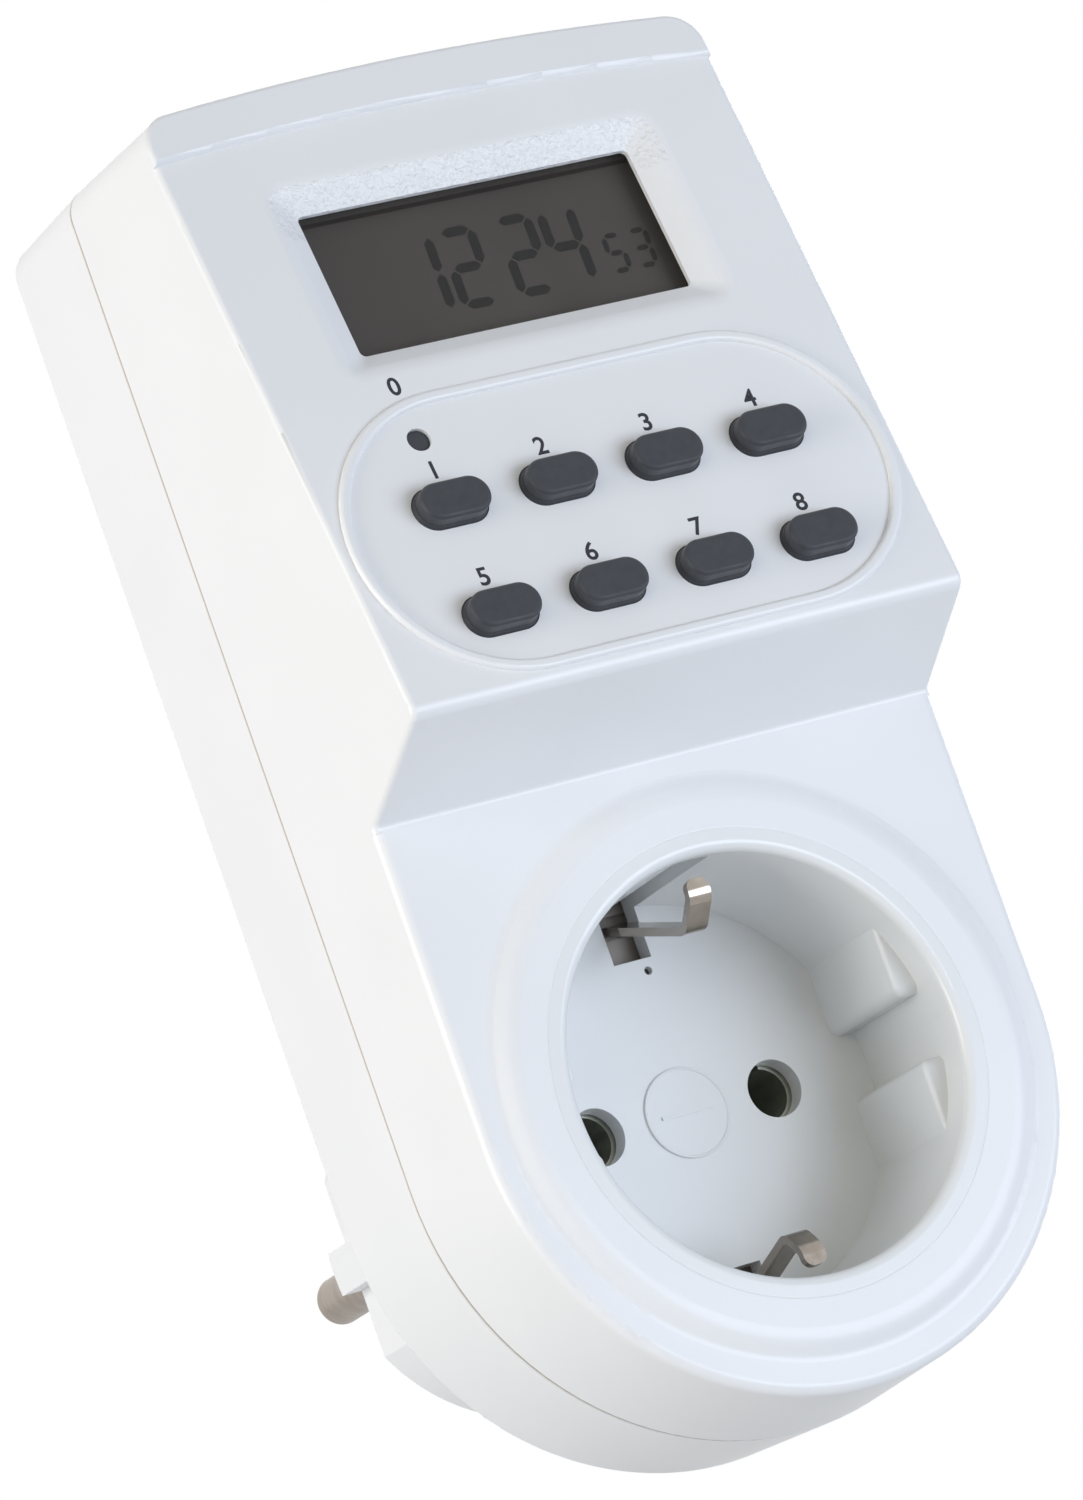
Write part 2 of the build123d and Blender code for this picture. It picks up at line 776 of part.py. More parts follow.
with BuildPart() as line_contact:
    contact_sleeve(pin_x)
    # Foot that carries the switched wire
    foot_x = pin_x + tail_width / 2 - (tail_width + tail_foot_reach) / 2
    foot_plane = Plane.XY.offset(-contact_r - contact_thickness)
    foot_y = -tail_back - tail_foot_width / 2
    block(foot_plane, (foot_x, foot_y), tail_width + tail_foot_reach, tail_foot_width, contact_thickness)
line_contact.part.label = "line_contact"
export_step(line_contact.part, "parts/line_contact.step")

with BuildPart() as neutral_contact:
    contact_sleeve(-pin_x)
neutral_contact.part.label = "neutral_contact"
export_step(neutral_contact.part, "parts/neutral_contact.step")


def plug_pin(x):
    """Plug pin with a shoulder in the plug's end wall, a flange behind it and a stub for its conductor."""
    disc(at_depth(-pin_length), [(x, 0)], pin_r, pin_length)
    disc(at_depth(-pin_shoulder_proud), [(x, 0)], pin_shoulder_r, pin_shoulder_proud + plug_end_wall)
    disc(at_depth(plug_end_wall), [(x, 0)], pin_flange_r, pin_flange_thickness)
    disc(at_depth(plug_end_wall + pin_flange_thickness), [(x, 0)], pin_stub_r, pin_stub_length)


with BuildPart() as plug_pin_line:
    plug_pin(pin_x)
    fillet(plug_pin_line.edges().group_by(Axis.Y)[-1], radius=pin_tip_round)
plug_pin_line.part.label = "plug_pin_line"
export_step(plug_pin_line.part, "parts/plug_pin_line.step")

with BuildPart() as plug_pin_neutral:
    plug_pin(-pin_x)
    fillet(plug_pin_neutral.edges().group_by(Axis.Y)[-1], radius=pin_tip_round)
plug_pin_neutral.part.label = "plug_pin_neutral"
export_step(plug_pin_neutral.part, "parts/plug_pin_neutral.step")

# Flat link between the neutral pin's stub and the neutral contact's tail
with BuildPart() as neutral_link:
    link_back = plug_end_wall + pin_flange_thickness + link_end_gap
    link_length = block_back - link_end_gap - link_back
    link_thickness = contact_r - pin_stub_r - link_gap
    link_place = (-pin_x, -link_back - link_length / 2)
    block(Plane.XY.offset(-contact_r), link_place, link_width, link_length, link_thickness)
neutral_link.part.label = "neutral_link"
export_step(neutral_link.part, "parts/neutral_link.step")


def wire_run(*points):
    """Round wire along straight runs joined by equal bends."""
    with BuildLine() as route:
        FilletPolyline(*points, radius=wire_bend_r)
    with BuildSketch(route.line ^ 0) as section:
        Circle(wire_r)
    sweep(section.sketch, path=route.line)


def mains_wire(x):
    """Wire from the end of a plug pin, round the contact block, to the power board."""
    wire_run(
        (x, -stub_end, 0),
        (x, -stub_end - wire_lead, 0),
        (x, -stub_end - wire_lead, wire_height),
        (x, -wire_forward, wire_height),
        (x, -wire_forward, power_board_foot + wire_edge),
        (x, -power_front, power_board_foot + wire_edge),
    )


with BuildPart() as live_wire:
    mains_wire(pin_x)
live_wire.part.label = "live_wire"
export_step(live_wire.part, "parts/live_wire.step")

with BuildPart() as neutral_wire:
    mains_wire(-pin_x)
neutral_wire.part.label = "neutral_wire"
export_step(neutral_wire.part, "parts/neutral_wire.step")

# Wire from the power board to the line contact
with BuildPart() as switched_wire:
    lug_depth = tail_back + tail_foot_width / 2
    wire_run(
        (switched_wire_x, -lug_depth, -contact_r),
        (switched_wire_x, -lug_depth, wire_height),
        (switched_wire_x, -wire_forward, wire_height),
        (switched_wire_x, -wire_forward, power_board_foot + wire_edge),
        (switched_wire_x, -power_front, power_board_foot + wire_edge),
    )
switched_wire.part.label = "switched_wire"
export_step(switched_wire.part, "parts/switched_wire.step")

# Earth strap: a flat bar across the casing with both ends bent back into the plug's grooves
with BuildPart() as earth_strap:
    strap_bend_r = strap_gap + strap_thickness / 2
    leg_height = plug_half_grooves + strap_bend_r
    bar_depth = rear_inner + strap_thickness / 2
    with BuildSketch(Plane.YZ):
        with BuildLine():
            FilletPolyline(
                (-strap_tip_gap, leg_height),
                (-bar_depth, leg_height),
                (-bar_depth, -leg_height),
                (-strap_tip_gap, -leg_height),
                radius=strap_bend_r,
            )
        trace(line_width=strap_thickness)
    extrude(amount=strap_width / 2, both=True)
earth_strap.part.label = "earth_strap"
export_step(earth_strap.part, "parts/earth_strap.step")


def earth_clip(side, bends):
    """Sprung earth clip with a rolled root to flex about, bent at places below the mouth and off the axis."""
    root = (-(rear_inner + strap_thickness + strap_gap + clip_root_r), side * clip_root_height)
    elbow = (-floor_back, side * clip_elbow_height)
    grip, curl, tip = [(depth - mouth, side * height) for depth, height in bends]
    with BuildSketch(Plane.YZ) as profile:
        with BuildLine():
            FilletPolyline(root, elbow, grip, curl, tip, radius=[clip_elbow_r, clip_grip_r, clip_curl_r])
        trace(line_width=clip_thickness)
        with Locations(root):
            Circle(clip_root_r)
    extrude(profile.sketch, amount=clip_width / 2, both=True)
    # The strip's end is rounded like a tongue
    tip_edges = faces().sort_by_distance((0, *tip))[0].edges()
    fillet(tip_edges.sort_by_distance((0, *tip))[2:], radius=clip_tip_corner_r)


with BuildPart() as earth_clip_upper:
    earth_clip(1, upper_clip_bends)
earth_clip_upper.part.label = "earth_clip_upper"
export_step(earth_clip_upper.part, "parts/earth_clip_upper.step")

with BuildPart() as earth_clip_lower:
    earth_clip(-1, lower_clip_bends)
earth_clip_lower.part.label = "earth_clip_lower"
export_step(earth_clip_lower.part, "parts/earth_clip_lower.step")

# Clear window glued behind the display's opening
with BuildPart() as display_window:
    window_width = display_width + 2 * window_lap
    window_height = display_height + 2 * window_lap
    block(head_plane(window_back), (0, display_middle), window_width, window_height, window_thickness)
display_window.part.label = "display_window"
export_step(display_window.part, "parts/display_window.step")

# Display panel: two glass layers, the front one shorter to leave a contact ledge
lcd_width = display_width + 2 * lcd_lap
lcd_height = display_height + 2 * lcd_lap
lcd_front = window_back + bracket_lip_thickness
with BuildPart() as lcd_panel:
    lcd_back = lcd_front + lcd_thickness
    block(head_plane(lcd_back), (0, display_middle), lcd_width, lcd_height, lcd_thickness / 2)
    front_middle = (0, display_middle + lcd_glass_step / 2)
    block(head_plane(lcd_back), front_middle, lcd_width, lcd_height - lcd_glass_step, lcd_thickness)
lcd_panel.part.label = "lcd_panel"
export_step(lcd_panel.part, "parts/lcd_panel.step")

# Frame that carries the display panel between the window and the control board
with BuildPart() as lcd_bracket:
    inner_width = lcd_width + 2 * bracket_gap
    inner_height = lcd_height + 2 * bracket_gap
    outer = (inner_width + 2 * bracket_width, inner_height + 2 * bracket_width)
    opening = (inner_width - 2 * bracket_lip_reach, inner_height - 2 * bracket_lip_reach)
    tall = control_front - window_back
    block(head_plane(control_front), (0, display_middle), *outer, tall)
    block(head_plane(control_front), (0, display_middle), *opening, tall, Mode.SUBTRACT)
    pocket = tall - bracket_lip_thickness
    block(head_plane(control_front), (0, display_middle), inner_width, inner_height, pocket, Mode.SUBTRACT)
lcd_bracket.part.label = "lcd_bracket"
export_step(lcd_bracket.part, "parts/lcd_bracket.step")

# Two rubber contact strips between the display panel and the control board
with BuildPart() as zebra_strips:
    strip_length = lcd_width - 2 * zebra_end_inset
    strip_reach = lcd_height / 2 - zebra_inset - zebra_width / 2
    strip_thickness = control_front - lcd_front - lcd_thickness
    for climb in (display_middle + strip_reach, display_middle - strip_reach):
        block(head_plane(control_front), (0, climb), strip_length, zebra_width, strip_thickness)
zebra_strips.part.label = "zebra_strips"
export_step(zebra_strips.part, "parts/zebra_strips.step")

# Rubber mat under the keys, with a low collar round each stem's hole
stem_length = key_length - 2 * key_stem_inset
stem_width = key_width - 2 * key_stem_inset
stem_back = control_front - key_travel - stroke_reserve
with BuildPart() as keypad_mat:
    first_x, upper_row = key_places()[0]
    mat_low = key_low_row - key_width / 2 - mat_margin
    mat_high = reset_place()[1] + reset_r + mat_margin
    mat_width = key_length + 2 * mat_margin - 2 * first_x
    mat_middle = (0, (mat_low + mat_high) / 2)
    block(head_plane(control_front), mat_middle, mat_width, mat_high - mat_low, mat_thickness)
    hole = (stem_length + 2 * key_stem_gap, stem_width + 2 * key_stem_gap)
    for place in key_places():
        rim = [side + 2 * mat_collar_width for side in hole]
        slot(head_plane(control_front), place, *rim, mat_thickness + mat_collar_height)
        slot(head_plane(control_front), place, *hole, control_front, Mode.SUBTRACT)
    disc(head_plane(control_front), [reset_place()], reset_r + key_stem_gap, control_front, Mode.SUBTRACT)
keypad_mat.part.label = "keypad_mat"
export_step(keypad_mat.part, "parts/keypad_mat.step")


# Round-ended keys, each with a soft top edge, a flange behind the front and a stem over its contact
flange_back = wall + key_flange_gap + key_flange_thickness
flange = (key_length + 2 * key_flange_reach, key_width + 2 * key_flange_reach)
for index, place in enumerate(key_places()):
    row = "upper" if index < key_columns else "lower"
    key_name = f"key_{row}_{index % key_columns + 1}"
    with BuildPart() as key:
        slot(head_plane(flange_back), place, key_length, key_width, flange_back + key_proud)
        fillet(key.faces().sort_by(head_out)[-1].edges(), radius=key_round)
        slot(head_plane(flange_back), place, *flange, key_flange_thickness)
        slot(head_plane(stem_back), place, stem_length, stem_width, stem_back - flange_back)
    key.part.label = key_name
    export_step(key.part, f"parts/{key_name}.step")

# Reset key, sunk below the front so that only a pen tip reaches it
with BuildPart() as reset_key:
    disc(head_plane(stem_back), [reset_place()], reset_r, stem_back - reset_recess)
    disc(head_plane(flange_back), [reset_place()], reset_flange_r, key_flange_thickness)
reset_key.part.label = "reset_key"
export_step(reset_key.part, "parts/reset_key.step")

with BuildPart() as control_board:
    board_middle = (0, control_board_foot + control_board_height / 2)
    board_size = (control_board_width, control_board_height)
    block(head_plane(control_back), board_middle, *board_size, board_thickness)
    screw_hole_r = tapping_shank_r + tapping_clearance
    disc(head_plane(control_back), control_places(), screw_hole_r, board_thickness, Mode.SUBTRACT)
control_board.part.label = "control_board"
export_step(control_board.part, "parts/control_board.step")

with BuildPart() as controller_chip:
    chip_plane = head_plane(control_back + chip_thickness)
    block(chip_plane, (chip_x, chip_height), chip_side, chip_side, chip_thickness)
    chip_back = controller_chip.faces().sort_by(head_out)[0]
    chamfer(chip_back.edges(), length=chip_chamfer)
controller_chip.part.label = "controller_chip"
export_step(controller_chip.part, "parts/controller_chip.step")

# Round clock crystal lying on the control board's back
with BuildPart() as clock_crystal:
    crystal_start = Plane(
        origin=head_plane(control_back + crystal_r).from_local_coords((crystal_x, crystal_height, 0)),
        z_dir=(1, 0, 0),
    )
    disc(crystal_start, [(0, 0)], crystal_r, crystal_length)
    fillet(clock_crystal.edges().filter_by(GeomType.CIRCLE), radius=crystal_round)
clock_crystal.part.label = "clock_crystal"
export_step(clock_crystal.part, "parts/clock_crystal.step")

with BuildPart() as power_board:
    board_middle = (0, power_board_foot + power_board_height / 2)
    board_size = (power_board_width, power_board_height)
    block(at_depth(power_back), board_middle, *board_size, board_thickness)
    screw_hole_r = tapping_shank_r + tapping_clearance
    disc(at_depth(power_back), power_places(), screw_hole_r, board_thickness, Mode.SUBTRACT)
power_board.part.label = "power_board"
export_step(power_board.part, "parts/power_board.step")

# Plastic boxes soldered to the power board, with soft upright edges
with BuildPart() as relay:
    block(at_depth(power_front), on_power_board(relay_shares), relay_width, relay_height, relay_depth)
    fillet(relay.edges().filter_by(Axis.Y), radius=case_round)
relay.part.label = "relay"
export_step(relay.part, "parts/relay.step")

with BuildPart() as film_capacitor:
    block(at_depth(power_front), on_power_board(film_shares), film_width, film_height, film_depth)
    fillet(film_capacitor.edges().filter_by(Axis.Y), radius=case_round)
film_capacitor.part.label = "film_capacitor"
export_step(film_capacitor.part, "parts/film_capacitor.step")

# Round can with the usual rolled groove near its base
with BuildPart() as smoothing_capacitor:
    place = on_power_board(smoothing_shares)
    disc(at_depth(power_front), [place], smoothing_r, smoothing_depth)
    fillet(smoothing_capacitor.edges().group_by(Axis.Y)[0], radius=case_round)
    with BuildSketch(at_depth(power_front + smoothing_groove_height)):
        with Locations(place):
            Circle(smoothing_r + cut_overrun)
            Circle(smoothing_r - smoothing_groove, mode=Mode.SUBTRACT)
    extrude(amount=smoothing_groove, mode=Mode.SUBTRACT)
smoothing_capacitor.part.label = "smoothing_capacitor"
export_step(smoothing_capacitor.part, "parts/smoothing_capacitor.step")

# Varistor disc standing on two leads
with BuildPart() as varistor:
    x, height = on_power_board(varistor_shares)
    centre_depth = power_front + lead_reach + varistor_r
    side = Plane.XY.offset(height - varistor_thickness / 2)
    disc(side, [(x, -centre_depth)], varistor_r, varistor_thickness)
    fillet(varistor.edges().filter_by(GeomType.CIRCLE), radius=varistor_thickness / 4)
    leads = [(x - varistor_r / 2, height), (x + varistor_r / 2, height)]
    disc(at_depth(power_front), leads, lead_r, lead_reach + varistor_r)
varistor.part.label = "varistor"
export_step(varistor.part, "parts/varistor.step")


def axial_component(x, height, radius, length):
    """Round body lying along X just above the power board, on two bent leads."""
    centre_depth = power_front + lead_stand + radius
    start = Plane(origin=(x - length / 2, -centre_depth, height), z_dir=(1, 0, 0))
    disc(start, [(0, 0)], radius, length)
    with BuildLine() as lead:
        FilletPolyline(
            (x - length / 2 - lead_reach, -power_front, height),
            (x - length / 2 - lead_reach, -centre_depth, height),
            (x + length / 2 + lead_reach, -centre_depth, height),
            (x + length / 2 + lead_reach, -power_front, height),
            radius=2 * lead_r,
        )
    with BuildSketch(lead.line ^ 0) as section:
        Circle(lead_r)
    sweep(section.sketch, path=lead.line)


with BuildPart() as fuse_resistor:
    axial_component(*on_power_board(fuse_shares), fuse_r, fuse_length)
fuse_resistor.part.label = "fuse_resistor"
export_step(fuse_resistor.part, "parts/fuse_resistor.step")

with BuildPart() as rectifier_diodes:
    x, lowest = on_power_board(diode_shares)
    for number in range(diode_count):
        axial_component(x, lowest + number * diode_pitch, diode_r, diode_length)
rectifier_diodes.part.label = "rectifier_diodes"
export_step(rectifier_diodes.part, "parts/rectifier_diodes.step")

# Half-round transistor standing on the board
with BuildPart() as driver_transistor:
    x, height = on_power_board(transistor_shares)
    with BuildSketch(at_depth(power_front)):
        with Locations((x, height)):
            Circle(transistor_r)
        with Locations((x, height - transistor_flat - transistor_r / 2)):
            Rectangle(2 * transistor_r, transistor_r, mode=Mode.SUBTRACT)
    extrude(amount=transistor_height)
driver_transistor.part.label = "driver_transistor"
export_step(driver_transistor.part, "parts/driver_transistor.step")

# Button cell with a narrower cap
with BuildPart() as backup_battery:
    place = on_power_board(battery_shares)
    disc(at_depth(power_front), [place], battery_r, battery_thickness - battery_rim_height)
    disc(at_depth(power_front), [place], battery_r - battery_rim, battery_thickness)
backup_battery.part.label = "backup_battery"
export_step(backup_battery.part, "parts/backup_battery.step")

# Flat cable from the power board to the back of the control board
with BuildPart() as ribbon_cable:
    ribbon_height = on_power_board(ribbon_shares)[1]
    with BuildSketch(Plane.YZ):
        with BuildLine():
            FilletPolyline(
                (-power_front, ribbon_height),
                (-power_front - ribbon_reach, ribbon_height),
                head_point(ribbon_landing, control_back + ribbon_landing_reach),
                head_point(ribbon_landing, control_back),
                radius=ribbon_bend_r,
            )
        trace(line_width=ribbon_thickness)
    extrude(amount=ribbon_width / 2, both=True)
ribbon_cable.part.label = "ribbon_cable"
export_step(ribbon_cable.part, "parts/ribbon_cable.step")

# Four screws that join the housings, driven from the back
with BuildPart() as housing_screws:
    disc(at_depth(screw_seat - screw_head_height), screw_places(), screw_head_r, screw_head_height)
    fillet(housing_screws.edges().group_by(Axis.Y)[-1], radius=screw_head_round)
    disc(at_depth(screw_seat), screw_places(), screw_shank_r, screw_length)
    chamfer(housing_screws.edges().group_by(Axis.Y)[0], length=screw_shank_r / 2)
housing_screws.part.label = "housing_screws"
export_step(housing_screws.part, "parts/housing_screws.step")


def board_screws(plane, places):
    """Pan-head screws whose heads seat on a board's free side; the plane lies there and faces the post."""
    disc(plane, places, tapping_shank_r, tapping_length)
    disc(plane, places, tapping_head_r, -tapping_head_height)


with BuildPart() as control_board_screws:
    board_screws(head_plane(control_back), control_places())
control_board_screws.part.label = "control_board_screws"
export_step(control_board_screws.part, "parts/control_board_screws.step")

with BuildPart() as power_board_screws:
    disc(at_depth(power_front), power_places(), tapping_head_r, tapping_head_height)
    disc(at_depth(power_front), power_places(), tapping_shank_r, -tapping_length)
power_board_screws.part.label = "power_board_screws"
export_step(power_board_screws.part, "parts/power_board_screws.step")
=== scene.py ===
"""Finish of the plug-in timer: materials, printed numbers, display digits, small trim, light and camera."""
import json
import math

import bpy
from mathutils import Matrix, Vector


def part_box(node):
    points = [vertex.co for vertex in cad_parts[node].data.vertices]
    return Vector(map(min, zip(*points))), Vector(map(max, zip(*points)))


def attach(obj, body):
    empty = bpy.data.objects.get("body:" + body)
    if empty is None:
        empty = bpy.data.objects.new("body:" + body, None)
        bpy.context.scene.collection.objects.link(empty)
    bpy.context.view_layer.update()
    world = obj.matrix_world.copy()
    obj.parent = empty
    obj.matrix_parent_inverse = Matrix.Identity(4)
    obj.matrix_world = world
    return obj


# One millimetre in metres, the unit of the scene
MM = 0.001

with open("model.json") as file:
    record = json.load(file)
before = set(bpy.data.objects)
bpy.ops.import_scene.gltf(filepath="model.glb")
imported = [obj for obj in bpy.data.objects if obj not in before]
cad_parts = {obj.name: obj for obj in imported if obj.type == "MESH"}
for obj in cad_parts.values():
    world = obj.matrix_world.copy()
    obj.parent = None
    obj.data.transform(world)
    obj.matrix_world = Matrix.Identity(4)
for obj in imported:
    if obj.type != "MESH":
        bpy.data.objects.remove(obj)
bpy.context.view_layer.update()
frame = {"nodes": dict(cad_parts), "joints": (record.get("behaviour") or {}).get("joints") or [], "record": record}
NODES = frame["nodes"]
JOINTS = {joint["name"]: joint for joint in frame["joints"]}
KEYS = [f"key_{row}_{number}" for row in ("upper", "lower") for number in (1, 2, 3, 4)]

# Direction in which the keys are pressed, and the ways across and up the leaning front
INWARD = Vector(JOINTS["key_upper_1_press"]["axis"])
ACROSS = Vector((1.0, 0.0, 0.0))
CLIMB = ACROSS.cross(INWARD)

# Direction in which a plug is pulled out of the socket
OUT_OF_SOCKET = Vector((0.0, -1.0, 0.0))

# Where lines that look for a surface start: this far before the leaning front, and at this y in the socket
SIGHT_REACH = 20 * MM
SOCKET_MOUTH = -60 * MM


def middle(node):
    """Centre of a node's box at rest."""
    low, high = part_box(node)
    return (low + high) / 2


def on_surface(node, start, direction):
    """Point where a line meets a node's surface."""
    hit, place, _, _ = NODES[node].ray_cast(start, direction)
    if not hit:
        raise ValueError(f"nothing of {node} lies there")
    return place


def on_front(node, point):
    """Point of a node that shows at a place on the leaning front, seen square to it."""
    return on_surface(node, point - INWARD * SIGHT_REACH, INWARD)


def on_socket_floor(x, z):
    """Point on the floor of the socket, from the socket's axis."""
    return on_surface("socket_insert", Vector((x, SOCKET_MOUTH, z)), -OUT_OF_SOCKET)


# Materials

EVEN = (1.0, 1.0, 1.0)
# Values between which most of Blender's noise lies
NOISE_LOW = 0.2
NOISE_HIGH = 0.8


def maths(tree, operation, *values):
    """Output of a maths node whose inputs are sockets or plain numbers, in order."""
    node = tree.nodes.new("ShaderNodeMath")
    node.operation = operation
    for value, entry in zip(values, node.inputs):
        if isinstance(value, float):
            entry.default_value = value
        else:
            tree.links.new(value, entry)
    return node.outputs["Value"]


class Finish:
    """A procedural material: a Principled shader with helpers for colour, roughness and relief."""

    def __init__(self, name, colour, roughness, metallic=0.0, **sockets):
        self.name = name
        self.material = bpy.data.materials.new(name)
        self.material.use_nodes = True
        self.tree = self.material.node_tree
        self.tree.nodes.clear()
        self.output = self.tree.nodes.new("ShaderNodeOutputMaterial")
        self.shader = self.tree.nodes.new("ShaderNodeBsdfPrincipled")
        self.link(self.shader.outputs["BSDF"], self.output.inputs["Surface"])
        self.shader.inputs["Base Color"].default_value = (*colour, 1.0)
        self.shader.inputs["Roughness"].default_value = roughness
        self.shader.inputs["Metallic"].default_value = metallic
        for socket, value in sockets.items():
            self.shader.inputs[socket.replace("_", " ")].default_value = value
        coordinates = self.tree.nodes.new("ShaderNodeTexCoord")
        self.place = coordinates.outputs["Object"]
        self.normal = None

    def link(self, source, target):
        self.tree.links.new(source, target)

    def noise(self, size, detail, stretch=EVEN):
        """Noise whose grains are about one size across, in metres."""
        mapping = self.tree.nodes.new("ShaderNodeMapping")
        mapping.inputs["Scale"].default_value = [share / size for share in stretch]
        noise = self.tree.nodes.new("ShaderNodeTexNoise")
        noise.inputs["Scale"].default_value = 1.0
        noise.inputs["Detail"].default_value = detail
        self.link(self.place, mapping.inputs["Vector"])
        self.link(mapping.outputs["Vector"], noise.inputs["Vector"])
        return noise.outputs["Fac"]

    def spread(self, value, low, high):
        """Remap most of a noise's range to the range between two limits."""
        remap = self.tree.nodes.new("ShaderNodeMapRange")
        remap.inputs["From Min"].default_value = NOISE_LOW
        remap.inputs["From Max"].default_value = NOISE_HIGH
        remap.inputs["To Min"].default_value = low
        remap.inputs["To Max"].default_value = high
        self.link(value, remap.inputs["Value"])
        return remap.outputs["Result"]

    def mottle(self, size, dark, light, detail=3.0, stretch=EVEN):
        """Vary the colour between two colours in soft patches."""
        mix = self.tree.nodes.new("ShaderNodeMix")
        mix.data_type = "RGBA"
        mix.inputs["A"].default_value = (*dark, 1.0)
        mix.inputs["B"].default_value = (*light, 1.0)
        self.link(self.spread(self.noise(size, detail, stretch), 0.0, 1.0), mix.inputs["Factor"])
        self.link(mix.outputs["Result"], self.shader.inputs["Base Color"])

    def gloss_patches(self, size, low, high, stretch=EVEN):
        """Vary the roughness between two values in soft patches."""
        self.link(self.spread(self.noise(size, 1.0, stretch), low, high), self.shader.inputs["Roughness"])

    def relief(self, size, depth, detail=2.0, stretch=EVEN, zone=None):
        """Add a fine relief, as deep as stated, on top of any before it, everywhere or in one zone."""
        bump = self.tree.nodes.new("ShaderNodeBump")
        bump.inputs["Distance"].default_value = depth
        if zone:
            self.link(zone, bump.inputs["Strength"])
        self.link(self.noise(size, detail, stretch), bump.inputs["Height"])
        if self.normal:
            self.link(self.normal, bump.inputs["Normal"])
        self.normal = bump.outputs["Normal"]
        self.link(self.normal, self.shader.inputs["Normal"])


# Soft patches and waves of moulded plastic
TONE_PATCH = 14 * MM
GLOSS_PATCH = 8 * MM
WAVE_LENGTH = 9 * MM
WAVE_DEPTH = 0.012 * MM


def moulded(name, dark, light, rough, grain, depth, patchiness=0.05):
    """Moulded plastic: slight tone patches, patchy gloss, soft waves and a fine tool grain."""
    finish = Finish(name, light, rough, IOR=1.5)
    finish.mottle(TONE_PATCH, dark, light, detail=1.0)
    finish.gloss_patches(GLOSS_PATCH, rough - patchiness, rough + patchiness)
    finish.relief(WAVE_LENGTH, WAVE_DEPTH, detail=0.0)
    finish.relief(grain, depth)
    return finish


# Plastics and dipped coats, each with its dark and light tone, its roughness, and its grain's size and depth
white_shell = moulded(
    "white_shell", (0.80, 0.805, 0.812), (0.825, 0.83, 0.837),
    0.32, 0.16 * MM, 0.0035 * MM, patchiness=0.02,
)
white_insert = moulded(
    "white_insert", (0.775, 0.788, 0.786), (0.79, 0.802, 0.80),
    0.24, 0.3 * MM, 0.0015 * MM, patchiness=0.015,
)
carrier_plastic = moulded(
    "carrier_plastic", (0.105, 0.108, 0.098), (0.130, 0.133, 0.121),
    0.4, 0.2 * MM, 0.004 * MM,
)
slot_screen = moulded("slot_screen", (0.34, 0.31, 0.275), (0.40, 0.365, 0.325), 0.4, 0.2 * MM, 0.004 * MM)
relay_case = moulded("relay_case", (0.02, 0.06, 0.26), (0.025, 0.07, 0.30), 0.3, 0.2 * MM, 0.003 * MM)
film_case = moulded("film_case", (0.60, 0.36, 0.02), (0.66, 0.40, 0.03), 0.3, 0.2 * MM, 0.003 * MM)
black_case = moulded("black_case", (0.012, 0.012, 0.013), (0.02, 0.02, 0.021), 0.5, 0.15 * MM, 0.004 * MM)
varistor_coat = moulded("varistor_coat", (0.02, 0.09, 0.24), (0.03, 0.11, 0.28), 0.2, 0.8 * MM, 0.02 * MM)
resistor_coat = moulded("resistor_coat", (0.26, 0.34, 0.32), (0.30, 0.38, 0.36), 0.25, 0.8 * MM, 0.02 * MM)
wire_brown = moulded("wire_brown", (0.07, 0.022, 0.008), (0.09, 0.03, 0.012), 0.35, 0.5 * MM, 0.004 * MM)
wire_blue = moulded("wire_blue", (0.01, 0.04, 0.25), (0.015, 0.05, 0.30), 0.35, 0.5 * MM, 0.004 * MM)

# Groove between the two housings: its place before the origin, half its width, and the tone of the painted shade
# at its bottom
SEAM_DEPTH = 43.1 * MM
SEAM_HALF_WIDTH = 0.21 * MM
SEAM_SHADE_TONE = (0.36, 0.31, 0.26)


def shade_seam(finish):
    """Paint shade at the bottom of the groove between the two housings, as a dark tan line."""
    tree = finish.tree
    split = tree.nodes.new("ShaderNodeSeparateXYZ")
    finish.link(finish.place, split.inputs["Vector"])
    away = maths(tree, "ABSOLUTE", maths(tree, "ADD", split.outputs["Y"], SEAM_DEPTH))
    fade = tree.nodes.new("ShaderNodeMapRange")
    fade.inputs["From Min"].default_value = SEAM_HALF_WIDTH / 2
    fade.inputs["From Max"].default_value = SEAM_HALF_WIDTH
    finish.link(away, fade.inputs["Value"])
    # Painted shade: the colour turns dark tan along the groove's bottom and fades out towards its edges
    mix = tree.nodes.new("ShaderNodeMix")
    mix.data_type = "RGBA"
    mix.inputs["A"].default_value = (*SEAM_SHADE_TONE, 1.0)
    colour = finish.shader.inputs["Base Color"]
    finish.link(colour.links[0].from_socket, mix.inputs["B"])
    finish.link(fade.outputs["Result"], mix.inputs["Factor"])
    finish.link(mix.outputs["Result"], colour)


shade_seam(white_shell)


def rubber(name, dark, light):
    """Matt silicone rubber with a fine grain and a faint sheen of dust."""
    finish = Finish(name, light, roughness=0.6, IOR=1.45, Sheen_Weight=0.15, Sheen_Roughness=0.5)
    finish.mottle(size=0.9 * MM, dark=dark, light=light)
    finish.gloss_patches(size=1.5 * MM, low=0.5, high=0.66)
    finish.relief(size=0.09 * MM, depth=0.005 * MM)
    return finish


key_rubber = rubber("key_rubber", (0.022, 0.0245, 0.031), (0.031, 0.035, 0.043))
contact_rubber = rubber("contact_rubber", (0.045, 0.045, 0.047), (0.06, 0.06, 0.062))


